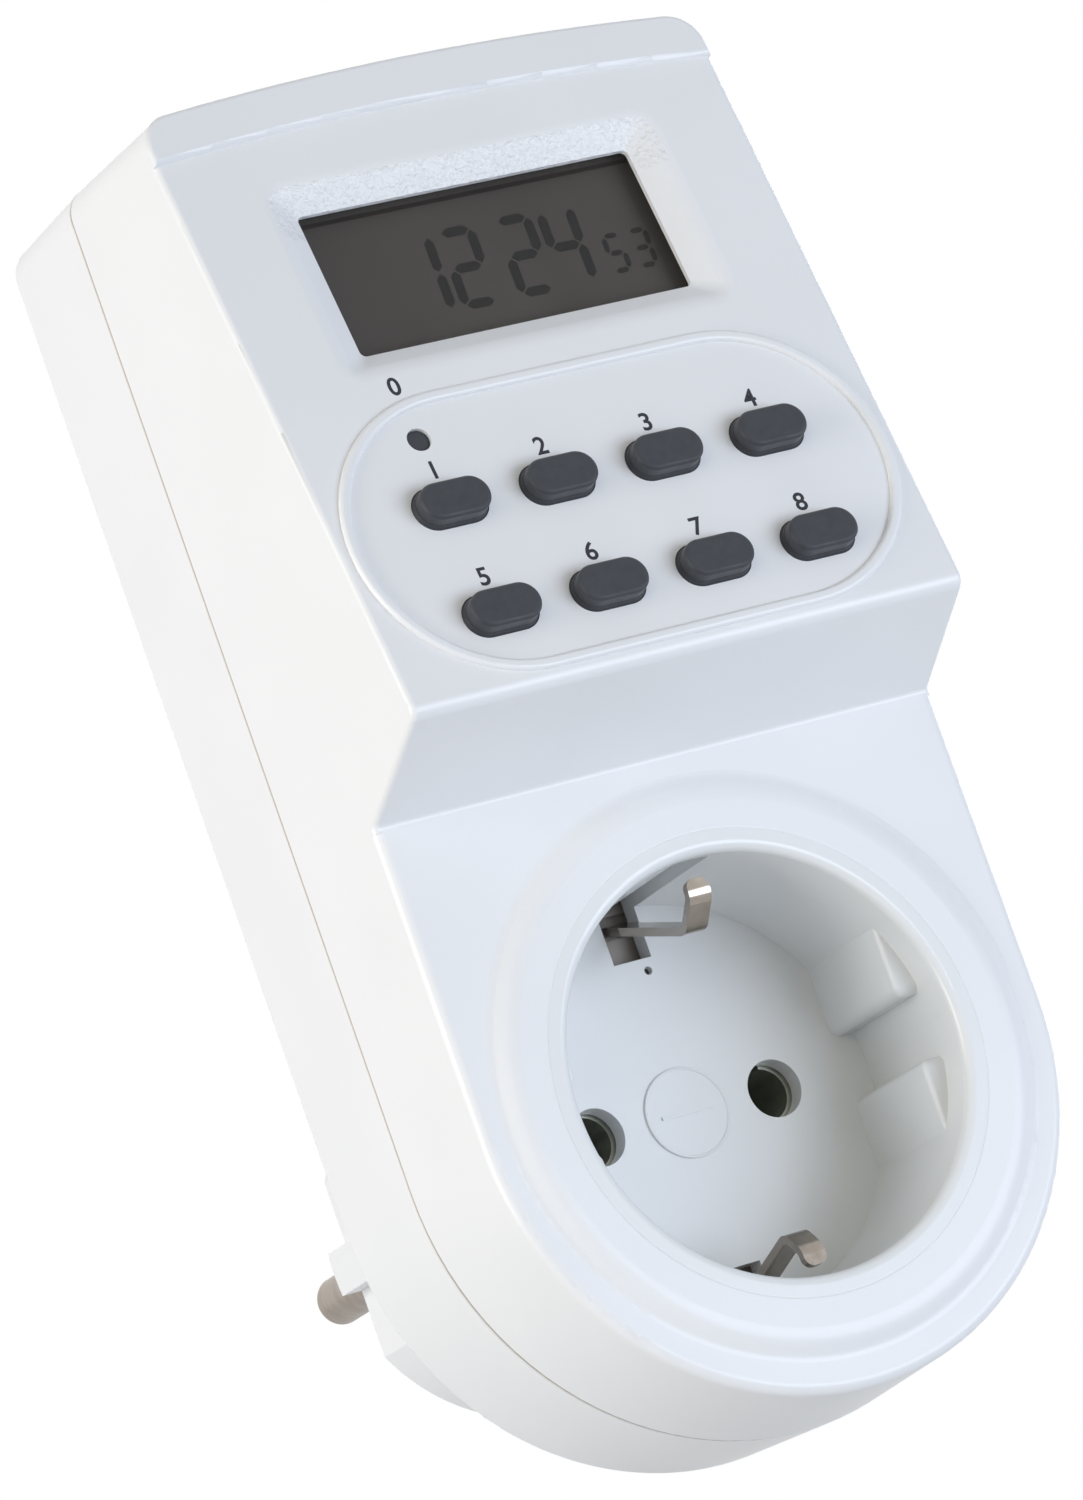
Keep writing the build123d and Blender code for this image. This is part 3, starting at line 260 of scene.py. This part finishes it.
def metal(name, dark, light, smooth, rough, stretch, grain):
    """Plated or bare metal with drawn streaks along one way."""
    finish = Finish(name, light, rough, metallic=1.0)
    finish.mottle(size=2.5 * MM, dark=dark, light=light, stretch=stretch)
    finish.gloss_patches(size=0.8 * MM, low=smooth, high=rough, stretch=stretch)
    finish.relief(size=grain, depth=0.003 * MM, stretch=stretch)
    return finish


# Metals, each with its dark and light tone, its lowest and highest roughness, its streaks and its grain
ALONG_Y = (1.0, 0.08, 1.0)
ROUND_Y = (1.0, 3.0, 1.0)
clip_nickel = metal("clip_nickel", (0.28, 0.245, 0.21), (0.44, 0.40, 0.355), 0.12, 0.22, ALONG_Y, 0.10 * MM)
pin_nickel = metal("pin_nickel", (0.33, 0.285, 0.245), (0.45, 0.40, 0.35), 0.28, 0.42, ROUND_Y, 0.20 * MM)
contact_brass = metal(
    "contact_brass", (0.54, 0.56, 0.50), (0.68, 0.70, 0.62), 0.40, 0.55, ALONG_Y, 0.15 * MM
)
steel = metal("steel", (0.45, 0.45, 0.46), (0.60, 0.60, 0.61), 0.28, 0.42, ROUND_Y, 0.15 * MM)

# Circuit board: green mask over tracks that run along X
TRACK_PITCH = 1.6 * MM
TRACKS = (0.15, 1.0, 1.0)
board = Finish("board", (0.03, 0.11, 0.04), roughness=0.35, IOR=1.5)
board.mottle(TRACK_PITCH, (0.025, 0.10, 0.035), (0.045, 0.16, 0.06), detail=0.0, stretch=TRACKS)
board.relief(TRACK_PITCH, depth=0.03 * MM, detail=0.0, stretch=TRACKS)

# Ribbon cable: grey insulation with a rib over each of the cores, which lie side by side along X
CORE_PITCH = 1.27 * MM
RIBS = (1.0, 0.02, 0.02)
ribbon = Finish("ribbon", (0.30, 0.30, 0.31), roughness=0.45, IOR=1.5)
ribbon.mottle(CORE_PITCH, (0.22, 0.22, 0.23), (0.36, 0.36, 0.37), detail=0.0, stretch=RIBS)
ribbon.relief(CORE_PITCH, depth=0.1 * MM, detail=0.0, stretch=RIBS)

# Clear cover of the display, with a faint haze
window = Finish("window", (0.10, 0.09, 0.085), roughness=0.10, IOR=1.46, Alpha=0.10)
window.gloss_patches(size=5 * MM, low=0.07, high=0.14)
window.relief(size=12 * MM, depth=0.004 * MM)

# Liquid crystal panel: a warm dark grey with a faint grain, inside a darker printed border
display_glass = Finish(
    "display_glass", (0.06, 0.05, 0.042), roughness=0.45, IOR=1.45, Specular_IOR_Level=0.25
)
display_glass.mottle(9 * MM, (0.069, 0.062, 0.056), (0.088, 0.079, 0.072))
display_glass.relief(size=0.25 * MM, depth=0.002 * MM)
border_print = Finish(
    "border_print", (0.014, 0.010, 0.009), roughness=0.5, IOR=1.45, Specular_IOR_Level=0.3
)
border_print.mottle(4 * MM, (0.010, 0.008, 0.007), (0.026, 0.017, 0.013))

# Printed and liquid crystal marks
ink = Finish("ink", (0.03, 0.03, 0.04), roughness=0.5, IOR=1.45, Specular_IOR_Level=0.3)
ink.mottle(0.25 * MM, (0.018, 0.018, 0.025), (0.045, 0.046, 0.058))
segment_dark = Finish(
    "segment_dark", (0.012, 0.012, 0.013), roughness=0.4, IOR=1.45, Specular_IOR_Level=0.25
)
segment_dark.mottle(1.2 * MM, (0.005, 0.006, 0.007), (0.011, 0.012, 0.012))

FINISH_OF_SLOT = {finish.name: finish for finish in (
    white_shell, white_insert, window, display_glass, carrier_plastic, contact_rubber, key_rubber,
    board, black_case, relay_case, film_case, varistor_coat, resistor_coat,
    contact_brass, pin_nickel, clip_nickel, wire_brown, wire_blue, ribbon, steel,
)}


def dress_nodes():
    """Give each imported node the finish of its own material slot."""
    for subpart in frame["record"]["subparts"]:
        node = NODES[subpart["node"]]
        node.data.materials.clear()
        node.data.materials.append(FINISH_OF_SLOT[subpart["material_slot"]].material)


# Grained slope above the display: half its width, and the depths below the front between which it lies
FUNNEL_HALF_WIDTH = 25 * MM
FUNNEL_DEPTHS = (0.08 * MM, 3.0 * MM)
# Distance beside the slope at which the front's level is read
FUNNEL_MARGIN = 2 * MM
# Rise of the grained zone's middle above the display's middle, and half its height
FUNNEL_ZONE_RISE = 8.5 * MM
FUNNEL_ZONE_REACH = 3.7 * MM
FUNNEL_GRAIN = 0.45 * MM
FUNNEL_RELIEF = 0.24 * MM


def roughen_funnel(finish):
    """Coarse eroded grain on the slope above the display only, which catches the light in small glints."""
    tree = finish.tree
    centre = middle("display_window")
    beside = centre + ACROSS * (FUNNEL_HALF_WIDTH + FUNNEL_MARGIN)
    level = on_front("front_housing", beside).dot(INWARD)
    shallow, deep = FUNNEL_DEPTHS
    zone = 1.0
    for way, zone_middle, reach in (
        (INWARD, level + (shallow + deep) / 2, (deep - shallow) / 2),
        (CLIMB, centre.dot(CLIMB) + FUNNEL_ZONE_RISE, FUNNEL_ZONE_REACH),
        (ACROSS, centre.dot(ACROSS), FUNNEL_HALF_WIDTH),
    ):
        along = tree.nodes.new("ShaderNodeVectorMath")
        along.operation = "DOT_PRODUCT"
        along.inputs[1].default_value = way
        finish.link(finish.place, along.inputs[0])
        near = maths(tree, "COMPARE", along.outputs["Value"], zone_middle, reach)
        zone = maths(tree, "MULTIPLY", near, zone)
    finish.relief(FUNNEL_GRAIN, FUNNEL_RELIEF, zone=zone)


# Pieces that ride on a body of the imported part


def carry(piece, body):
    """Put a piece in the scene, on a body."""
    bpy.context.scene.collection.objects.link(piece)
    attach(piece, body)


def add_piece(name, vertices, faces, finish, slot, body="casing"):
    """Closed mesh that rides on a body."""
    mesh = bpy.data.meshes.new(name)
    mesh.from_pydata(vertices, [], faces)
    mesh.materials.append(finish.material)
    carry(bpy.data.objects.new(name, mesh), body)


def prism_faces(count, start=0):
    """Faces of a prism whose two outlines are stored one after the other."""
    near = range(start, start + count)
    far = range(start + count, start + 2 * count)
    faces = [tuple(reversed(near)), tuple(far)]
    for index in range(count):
        after = (index + 1) % count
        faces.append((near[index], near[after], far[after], far[index]))
    return faces


def ring(path, out, profile):
    """Vertices and faces of a closed ring: a profile of (outwards, out of the face) swept along a path.

    The path is a list of points with their outward directions.
    """
    count = len(profile)
    vertices, faces = [], []
    for step, (point, outwards) in enumerate(path):
        vertices += [point + outwards * across + out * rise for across, rise in profile]
        here = step * count
        after = (step + 1) % len(path) * count
        for index in range(count):
            follower = (index + 1) % count
            faces.append((here + index, here + follower, after + follower, after + index))
    return vertices, faces


def in_metres(profile):
    """Profile given in millimetres, in metres."""
    return [(across * MM, rise * MM) for across, rise in profile]


def spokes(count):
    """Even directions round the socket's axis."""
    angles = [2 * math.pi * step / count for step in range(count)]
    return [Vector((math.cos(angle), 0.0, math.sin(angle))) for angle in angles]


def round_path(radius, y, steps):
    """Circle round the socket's axis, as points with their outward directions."""
    return [(way * radius + Vector((0.0, y, 0.0)), way) for way in spokes(steps)]


# Marks printed on the casing and shown on the display


def lie_flat(place):
    """Matrix that lays a flat outline on the leaning front, its x across and its y up the front."""
    turn = Matrix((ACROSS, CLIMB, -INWARD)).transposed().to_4x4()
    return Matrix.Translation(place) @ turn


def mark(name, outlines, place, thickness, finish, slot):
    """Thin raised mark at a place on the front, from flat outlines of (x, y) in metres."""
    laid = lie_flat(place)
    vertices, faces = [], []
    for outline in outlines:
        faces += prism_faces(len(outline), start=len(vertices))
        vertices += [laid @ Vector((x, y, z)) for z in (0.0, thickness) for x, y in outline]
    add_piece(name, vertices, faces, finish, slot)


LEGEND_HEIGHT = 1.8 * MM
# Height of a figure in the built-in typeface, as a share of the type's size
FIGURE_SHARE = 0.72
LEGEND_RISE = 3.85 * MM
RESET_LEGEND_RISE = 5.5 * MM
LEGEND_BOLD = 0.045 * MM
LEGEND_THICKNESS = 0.012 * MM


def print_number(text, key, rise):
    """Printed number above a key, from the built-in typeface."""
    place = on_front("front_housing", middle(key) + CLIMB * rise)
    name = f"number_{text}"
    curve = bpy.data.curves.new(name, "FONT")
    curve.body = text
    curve.size = LEGEND_HEIGHT / FIGURE_SHARE
    curve.align_x = "CENTER"
    curve.align_y = "CENTER"
    curve.extrude = LEGEND_THICKNESS / 2
    curve.offset = LEGEND_BOLD
    curve.materials.append(ink.material)
    piece = bpy.data.objects.new(name, curve)
    piece.matrix_world = lie_flat(place - INWARD * LEGEND_THICKNESS / 2)
    carry(piece, "casing")


def print_legends():
    """Number the keys from 1 to 8, and the reset key 0."""
    for number, key in enumerate(KEYS, start=1):
        print_number(str(number), key, LEGEND_RISE)
    print_number("0", "reset_key", RESET_LEGEND_RISE)


# Width, height and stroke of a digit, in millimetres
LARGE_DIGIT = (4.0, 8.5, 0.96)
SMALL_DIGIT = (2.15, 4.2, 0.54)
# Each digit with its place across and up from the display's middle, in millimetres, and its size
DIGITS = [
    ("1", -6.75, 0.0, LARGE_DIGIT),
    ("2", -2.25, 0.0, LARGE_DIGIT),
    ("2", 3.75, 0.0, LARGE_DIGIT),
    ("4", 8.25, 0.0, LARGE_DIGIT),
    ("5", 12.75, -1.75, SMALL_DIGIT),
    ("3", 15.55, -1.75, SMALL_DIGIT),
]
DIGIT_LEAN = 0.1
DIGIT_THICKNESS = 0.02 * MM
SEGMENT_GAP = 0.13 * MM
# Seven segments in the order a to g: top, upper right, lower right, bottom, lower left, upper left, middle
SEGMENTS_OF_DIGIT = {
    "1": "bc",
    "2": "abged",
    "3": "abgcd",
    "4": "fgbc",
    "5": "afgcd",
}


def segment_outlines(digit, width, height, stroke):
    """Outlines of a digit's lit segments, leaning a little to the right, in a box centred on the origin."""
    right = width / 2 - stroke / 2
    top = height / 2 - stroke / 2
    half = stroke / 2
    gap = SEGMENT_GAP

    def bar(start, end):
        (x0, y0), (x1, y1) = start, end
        if y0 == y1:
            corners = [(x0 + gap, y0), (x0 + gap + half, y0 - half), (x1 - gap - half, y1 - half),
                       (x1 - gap, y1), (x1 - gap - half, y1 + half), (x0 + gap + half, y0 + half)]
        else:
            corners = [(x0, y0 + gap), (x0 + half, y0 + gap + half), (x1 + half, y1 - gap - half),
                       (x1, y1 - gap), (x1 - half, y1 - gap - half), (x0 - half, y0 + gap + half)]
        return [(x + DIGIT_LEAN * y, y) for x, y in corners]

    ends = {
        "a": ((-right, top), (right, top)),
        "b": ((right, 0), (right, top)),
        "c": ((right, -top), (right, 0)),
        "d": ((-right, -top), (right, -top)),
        "e": ((-right, -top), (-right, 0)),
        "f": ((-right, 0), (-right, top)),
        "g": ((-right, 0), (right, 0)),
    }
    return [bar(*ends[letter]) for letter in SEGMENTS_OF_DIGIT[digit]]


def on_display(x, y):
    """Place on the liquid crystal panel, across and up from the middle of the display's window."""
    return on_front("lcd_panel", middle("display_window") + ACROSS * x + CLIMB * y)


def show_time():
    """Digits on the liquid crystal panel: hours, minutes and smaller seconds."""
    for number, (digit, x, y, size) in enumerate(DIGITS, start=1):
        outlines = segment_outlines(digit, *[value * MM for value in size])
        place = on_display(x * MM, y * MM)
        mark(f"digit_{number}", outlines, place, DIGIT_THICKNESS, segment_dark, "display_glass")


# Small trim on the display, in the socket and round the keys

BORDER_INNER_HALF_WIDTH = 18.4 * MM
BORDER_INNER_HALF_HEIGHT = 7.02 * MM
BORDER_WIDTH = 0.45 * MM
BORDER_THICKNESS = 0.01 * MM


def print_border():
    """Dark border printed round the liquid crystal panel's picture, mitred at its corners."""
    centre = on_display(0, 0)
    path = []
    for side, row in ((-1, -1), (-1, 1), (1, 1), (1, -1)):
        corner = ACROSS * side * BORDER_INNER_HALF_WIDTH + CLIMB * row * BORDER_INNER_HALF_HEIGHT
        path.append((centre + corner, ACROSS * side + CLIMB * row))
    profile = [(0.0, 0.0), (BORDER_WIDTH, 0.0), (BORDER_WIDTH, BORDER_THICKNESS), (0.0, BORDER_THICKNESS)]
    add_piece("display_border", *ring(path, -INWARD, profile), border_print, "display_glass")


RIM_R = 21.7 * MM
RIM_EDGE_ROUND = 0.15 * MM
RIM_GAP = 0.05 * MM
RIM_GROOVE = 0.035 * MM
RIM_DEPTH = 0.25 * MM
RIM_STEPS = 180


def fill_rim():
    """Shallow groove where the socket insert is pressed into its collar, in place of an open gap."""
    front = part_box("socket_insert")[0].y
    profile = [
        (-RIM_EDGE_ROUND, 0.0),
        ((RIM_GAP - RIM_EDGE_ROUND) / 2, -RIM_GROOVE),
        (RIM_GAP, 0.0),
        (RIM_GAP, -RIM_DEPTH),
        (-RIM_EDGE_ROUND, -RIM_DEPTH),
    ]
    groove = ring(round_path(RIM_R, front, RIM_STEPS), OUT_OF_SOCKET, profile)
    add_piece("insert_rim_groove", *groove, white_shell, "white_shell")


KEY_LENGTH = 7.0 * MM
KEY_WIDTH = 3.7 * MM
KEY_PROUD = 1.75 * MM
RESET_R = 1.0 * MM
SKIRT_STEPS = 16
# Vertices this near to a key's highest one belong to its top
TOP_TOLERANCE = 0.01 * MM
# Profiles of (outwards from the key's side, out of the front), in millimetres
KEY_SKIRT = [(-0.1, 0.4), (0.04, 0.4), (0.14, 0.08), (0.24, -0.05), (0.24, -0.9), (-0.1, -0.9)]
RESET_SKIRT = [(-0.05, 0.0), (0.03, 0.0), (0.1, -0.04), (0.1, -0.5), (-0.05, -0.5)]


def key_top(key):
    """Middle of a key's top, from the outermost points of its mesh."""
    out = -INWARD
    points = [vertex.co for vertex in NODES[key].data.vertices]
    level = max(point.dot(out) for point in points)
    top = [point for point in points if point.dot(out) > level - TOP_TOLERANCE]
    spans = [[point.dot(way) for point in top] for way in (ACROSS, CLIMB)]
    across, climb = [(min(span) + max(span)) / 2 for span in spans]
    return ACROSS * across + CLIMB * climb + out * level


def rounded_path(place, length, width):
    """Round-ended outline on the leaning front, as points with their outward directions."""
    reach = (length - width) / 2
    points_per_end = SKIRT_STEPS + 1 if reach > 0 else SKIRT_STEPS
    path = []
    for side in (1, -1):
        for step in range(points_per_end):
            angle = math.pi * (step / SKIRT_STEPS - 0.5) + (0.0 if side > 0 else math.pi)
            way = ACROSS * math.cos(angle) + CLIMB * math.sin(angle)
            path.append((place + ACROSS * reach * side + way * width / 2, way))
    return path


def skirt_keys():
    """Moulded rubber skirt at the foot of each key, which closes most of the gap round it."""
    skirts = [(key, KEY_LENGTH, KEY_WIDTH, KEY_PROUD, KEY_SKIRT) for key in KEYS]
    skirts.append(("reset_key", 2 * RESET_R, 2 * RESET_R, 0.0, RESET_SKIRT))
    for key, length, width, proud, profile in skirts:
        path = rounded_path(key_top(key) + INWARD * proud, length, width)
        skirt = ring(path, -INWARD, in_metres(profile))
        add_piece(f"{key}_skirt", *skirt, key_rubber, "key_rubber", f"{key}_body")


SCREEN_HALF_WIDTH = 3.0 * MM
SCREEN_CORNER = 0.5 * MM
SCREEN_THICKNESS = 0.4 * MM
# Depth of each strip, and the distances from the socket's axis between which it lies
SCREENS = {
    "inner": (38.9 * MM, 13.6 * MM, 17.5 * MM),
    "outer": (38.9 * MM, 19.7 * MM, 20.7 * MM),
    "shoulder": (38.2 * MM, 17.1 * MM, 20.5 * MM),
}


def add_screen(name, side, depth, near, far, slot, body):
    """Thin strip above or below the socket's axis, with its two far corners cut off."""
    outline = [
        (-SCREEN_HALF_WIDTH, near),
        (SCREEN_HALF_WIDTH, near),
        (SCREEN_HALF_WIDTH, far - SCREEN_CORNER),
        (SCREEN_HALF_WIDTH - SCREEN_CORNER, far),
        (SCREEN_CORNER - SCREEN_HALF_WIDTH, far),
        (-SCREEN_HALF_WIDTH, far - SCREEN_CORNER),
    ]
    vertices = [(x, y, side * z) for y in (-depth, SCREEN_THICKNESS - depth) for x, z in outline]
    faces = prism_faces(len(outline))
    if side > 0:
        faces = [tuple(reversed(face)) for face in faces]
    add_piece(name, vertices, faces, slot_screen, slot, body)


def screen_slots():
    """Strips behind each earth clip's slot, clear of the clip, and a shoulder that moves with the clip."""
    for row, side in (("upper", 1), ("lower", -1)):
        for strip, sizes in SCREENS.items():
            slot, body = "carrier_plastic", "casing"
            if strip == "shoulder":
                slot, body = "clip_nickel", f"earth_clip_{row}_body"
            add_screen(f"slot_screen_{row}_{strip}", side, *sizes, slot, body)


# Place of the pit beside and above the socket's axis, and the dark disc of painted shade at its bottom
GATE_PIT_X = 1.2 * MM
GATE_PIT_HEIGHT = 13.5 * MM
PIT_SHADE_R = 0.34 * MM
PIT_SHADE_PROUD = 0.03 * MM
PIT_SHADE_CORNERS = 20


def mark_gate():
    """Dark disc at the bottom of the pit: painted shade that darkens the pit."""
    bottom = on_socket_floor(GATE_PIT_X, GATE_PIT_HEIGHT)
    vertices = [
        bottom + way * PIT_SHADE_R + OUT_OF_SOCKET * rise
        for rise in (-PIT_SHADE_PROUD, PIT_SHADE_PROUD)
        for way in spokes(PIT_SHADE_CORNERS)
    ]
    # The disc is painted shade, a dark sheet at the bottom of the recess
    add_piece("pit_painted_shade", vertices, prism_faces(PIT_SHADE_CORNERS), black_case, "black_case")


DISC_R = 4.24 * MM
# Place on the disc, as a share of its radius, where the level of its face is read
DISC_FACE_SHARE = 0.9
DISC_STEPS = 72
# Profile of (outwards from the disc's edge, out of the disc's face), in millimetres
DISC_RIM = [(-0.24, -0.1), (-0.24, 0.0), (-0.16, 0.06), (-0.06, 0.06), (0.03, 0.0), (0.03, -0.1)]


def edge_disc():
    """Low rounded rim on the edge of the plain disc in the middle of the socket's floor."""
    face = on_socket_floor(DISC_R * DISC_FACE_SHARE, 0.0).y
    rim = ring(round_path(DISC_R, face, DISC_STEPS), OUT_OF_SOCKET, in_metres(DISC_RIM))
    add_piece("disc_rim", *rim, white_insert, "white_insert")


# Stage and light

FLOOR_HEIGHT = -0.75
FLOOR_HALF_WIDTH = 6.0
FLOOR_PATCH = 0.12
FLOOR_DARK = (0.83, 0.83, 0.83)
FLOOR_LIGHT = (0.86, 0.86, 0.86)
# Share of plain pale tone in what the camera sees of the floor, and that tone
FLOOR_GLOW = 0.8
FLOOR_GLOW_TONE = (0.95, 0.95, 0.95, 1.0)
BACKGROUND_TONE = (1.0, 1.0, 1.0, 1.0)
FILL_TONE = (0.88, 0.94, 1.0, 1.0)
FILL_STRENGTH = 0.31
LAMP_AIM = Vector((0.0, -0.04, 0.035))
# Name, place, width, height, strength and colour of each lamp, in metres and watts
LAMPS = [
    ("left", (-0.98, -0.15, 0.12), 0.6, 0.6, 7.4, (1.0, 0.98, 0.965)),
    ("front", (0.375, -0.64, -0.125), 0.6, 0.36, 3.55, (0.765, 0.845, 1.0)),
    ("high", (-0.45, -0.62, 0.28), 0.6, 0.6, 0.7, (1.0, 0.85, 0.55)),
    ("back", (0.7, 0.75, 0.4), 0.8, 0.8, 4.0, (1.0, 0.99, 0.97)),
]


def seen_directly(tree):
    """Factor that is 1 for what the camera, gloss and glass see, and 0 for light on a surface."""
    path = tree.nodes.new("ShaderNodeLightPath")
    reflected = maths(tree, "MAXIMUM", path.outputs["Is Glossy Ray"], path.outputs["Is Transmission Ray"])
    return maths(tree, "MAXIMUM", path.outputs["Is Camera Ray"], reflected)


def build_floor():
    """Plain pale floor well below the timer, which hangs as in a wall socket. It keeps a soft shadow."""
    half = FLOOR_HALF_WIDTH
    corners = [(-half, -half), (half, -half), (half, half), (-half, half)]
    mesh = bpy.data.meshes.new("floor")
    mesh.from_pydata([(x, y, FLOOR_HEIGHT) for x, y in corners], [], [(0, 1, 2, 3)])
    floor = bpy.data.objects.new("floor", mesh)
    finish = Finish("floor", FLOOR_LIGHT, roughness=0.8)
    finish.mottle(FLOOR_PATCH, FLOOR_DARK, FLOOR_LIGHT)
    tree = finish.tree
    pale = tree.nodes.new("ShaderNodeEmission")
    pale.inputs["Color"].default_value = FLOOR_GLOW_TONE
    mix = tree.nodes.new("ShaderNodeMixShader")
    finish.link(maths(tree, "MULTIPLY", seen_directly(tree), FLOOR_GLOW), mix.inputs["Fac"])
    finish.link(finish.shader.outputs["BSDF"], mix.inputs[1])
    finish.link(pale.outputs["Emission"], mix.inputs[2])
    finish.link(mix.outputs["Shader"], finish.output.inputs["Surface"])
    mesh.materials.append(finish.material)
    bpy.context.scene.collection.objects.link(floor)


def build_world():
    """Even fill light, with plain white for what the camera, gloss and glass see."""
    world = bpy.data.worlds.new("studio")
    bpy.context.scene.world = world
    world.use_nodes = True
    tree = world.node_tree
    tree.nodes.clear()
    output = tree.nodes.new("ShaderNodeOutputWorld")
    lit = tree.nodes.new("ShaderNodeBackground")
    lit.inputs["Color"].default_value = FILL_TONE
    lit.inputs["Strength"].default_value = FILL_STRENGTH
    white = tree.nodes.new("ShaderNodeBackground")
    white.inputs["Color"].default_value = BACKGROUND_TONE
    mix = tree.nodes.new("ShaderNodeMixShader")
    tree.links.new(seen_directly(tree), mix.inputs["Fac"])
    tree.links.new(lit.outputs["Background"], mix.inputs[1])
    tree.links.new(white.outputs["Background"], mix.inputs[2])
    tree.links.new(mix.outputs["Shader"], output.inputs["Surface"])


def build_lamps():
    """Large soft lamps, all pointed at the timer: at its left, low in front, high in front, and behind."""
    for name, place, width, height, strength, colour in LAMPS:
        light = bpy.data.lights.new(name, "AREA")
        light.shape = "RECTANGLE"
        light.size = width
        light.size_y = height
        light.energy = strength
        light.color = colour
        lamp = bpy.data.objects.new(name, light)
        lamp.location = place
        lamp.rotation_euler = (LAMP_AIM - Vector(place)).to_track_quat("-Z", "Y").to_euler()
        lamp.visible_camera = False
        bpy.context.scene.collection.objects.link(lamp)


# Camera

CAMERA_PLACE = Vector((-342.95, -650.31, -86.72)) * MM
CAMERA_TURN_DEGREES = 29.28
CAMERA_RISE_DEGREES = 9.95
CAMERA_ROLL_DEGREES = 19.58
FOCAL_PIXELS = 7775.9
IMAGE_LONG_SIDE_PIXELS = 1500.0
SENSOR_MM = 36.0
NEAREST_SEEN = 0.01
FARTHEST_SEEN = 20.0


def build_camera():
    """Camera at the photograph's viewing angle: turned right, tipped up and rolled."""
    data = bpy.data.cameras.new("camera")
    data.sensor_width = SENSOR_MM
    data.lens = FOCAL_PIXELS * SENSOR_MM / IMAGE_LONG_SIDE_PIXELS
    data.clip_start = NEAREST_SEEN
    data.clip_end = FARTHEST_SEEN
    turn = Matrix.Rotation(math.radians(-CAMERA_TURN_DEGREES), 4, "Z")
    rise = Matrix.Rotation(math.radians(90 + CAMERA_RISE_DEGREES), 4, "X")
    roll = Matrix.Rotation(math.radians(-CAMERA_ROLL_DEGREES), 4, "Z")
    camera = bpy.data.objects.new("camera", data)
    camera.matrix_world = Matrix.Translation(CAMERA_PLACE) @ turn @ rise @ roll
    bpy.context.scene.collection.objects.link(camera)
    bpy.context.scene.camera = camera


roughen_funnel(white_shell)
dress_nodes()
print_legends()
print_border()
show_time()
fill_rim()
skirt_keys()
screen_slots()
edge_disc()
mark_gate()
build_floor()
build_world()
build_lamps()
build_camera()
bpy.context.scene.view_settings.view_transform = "Standard"
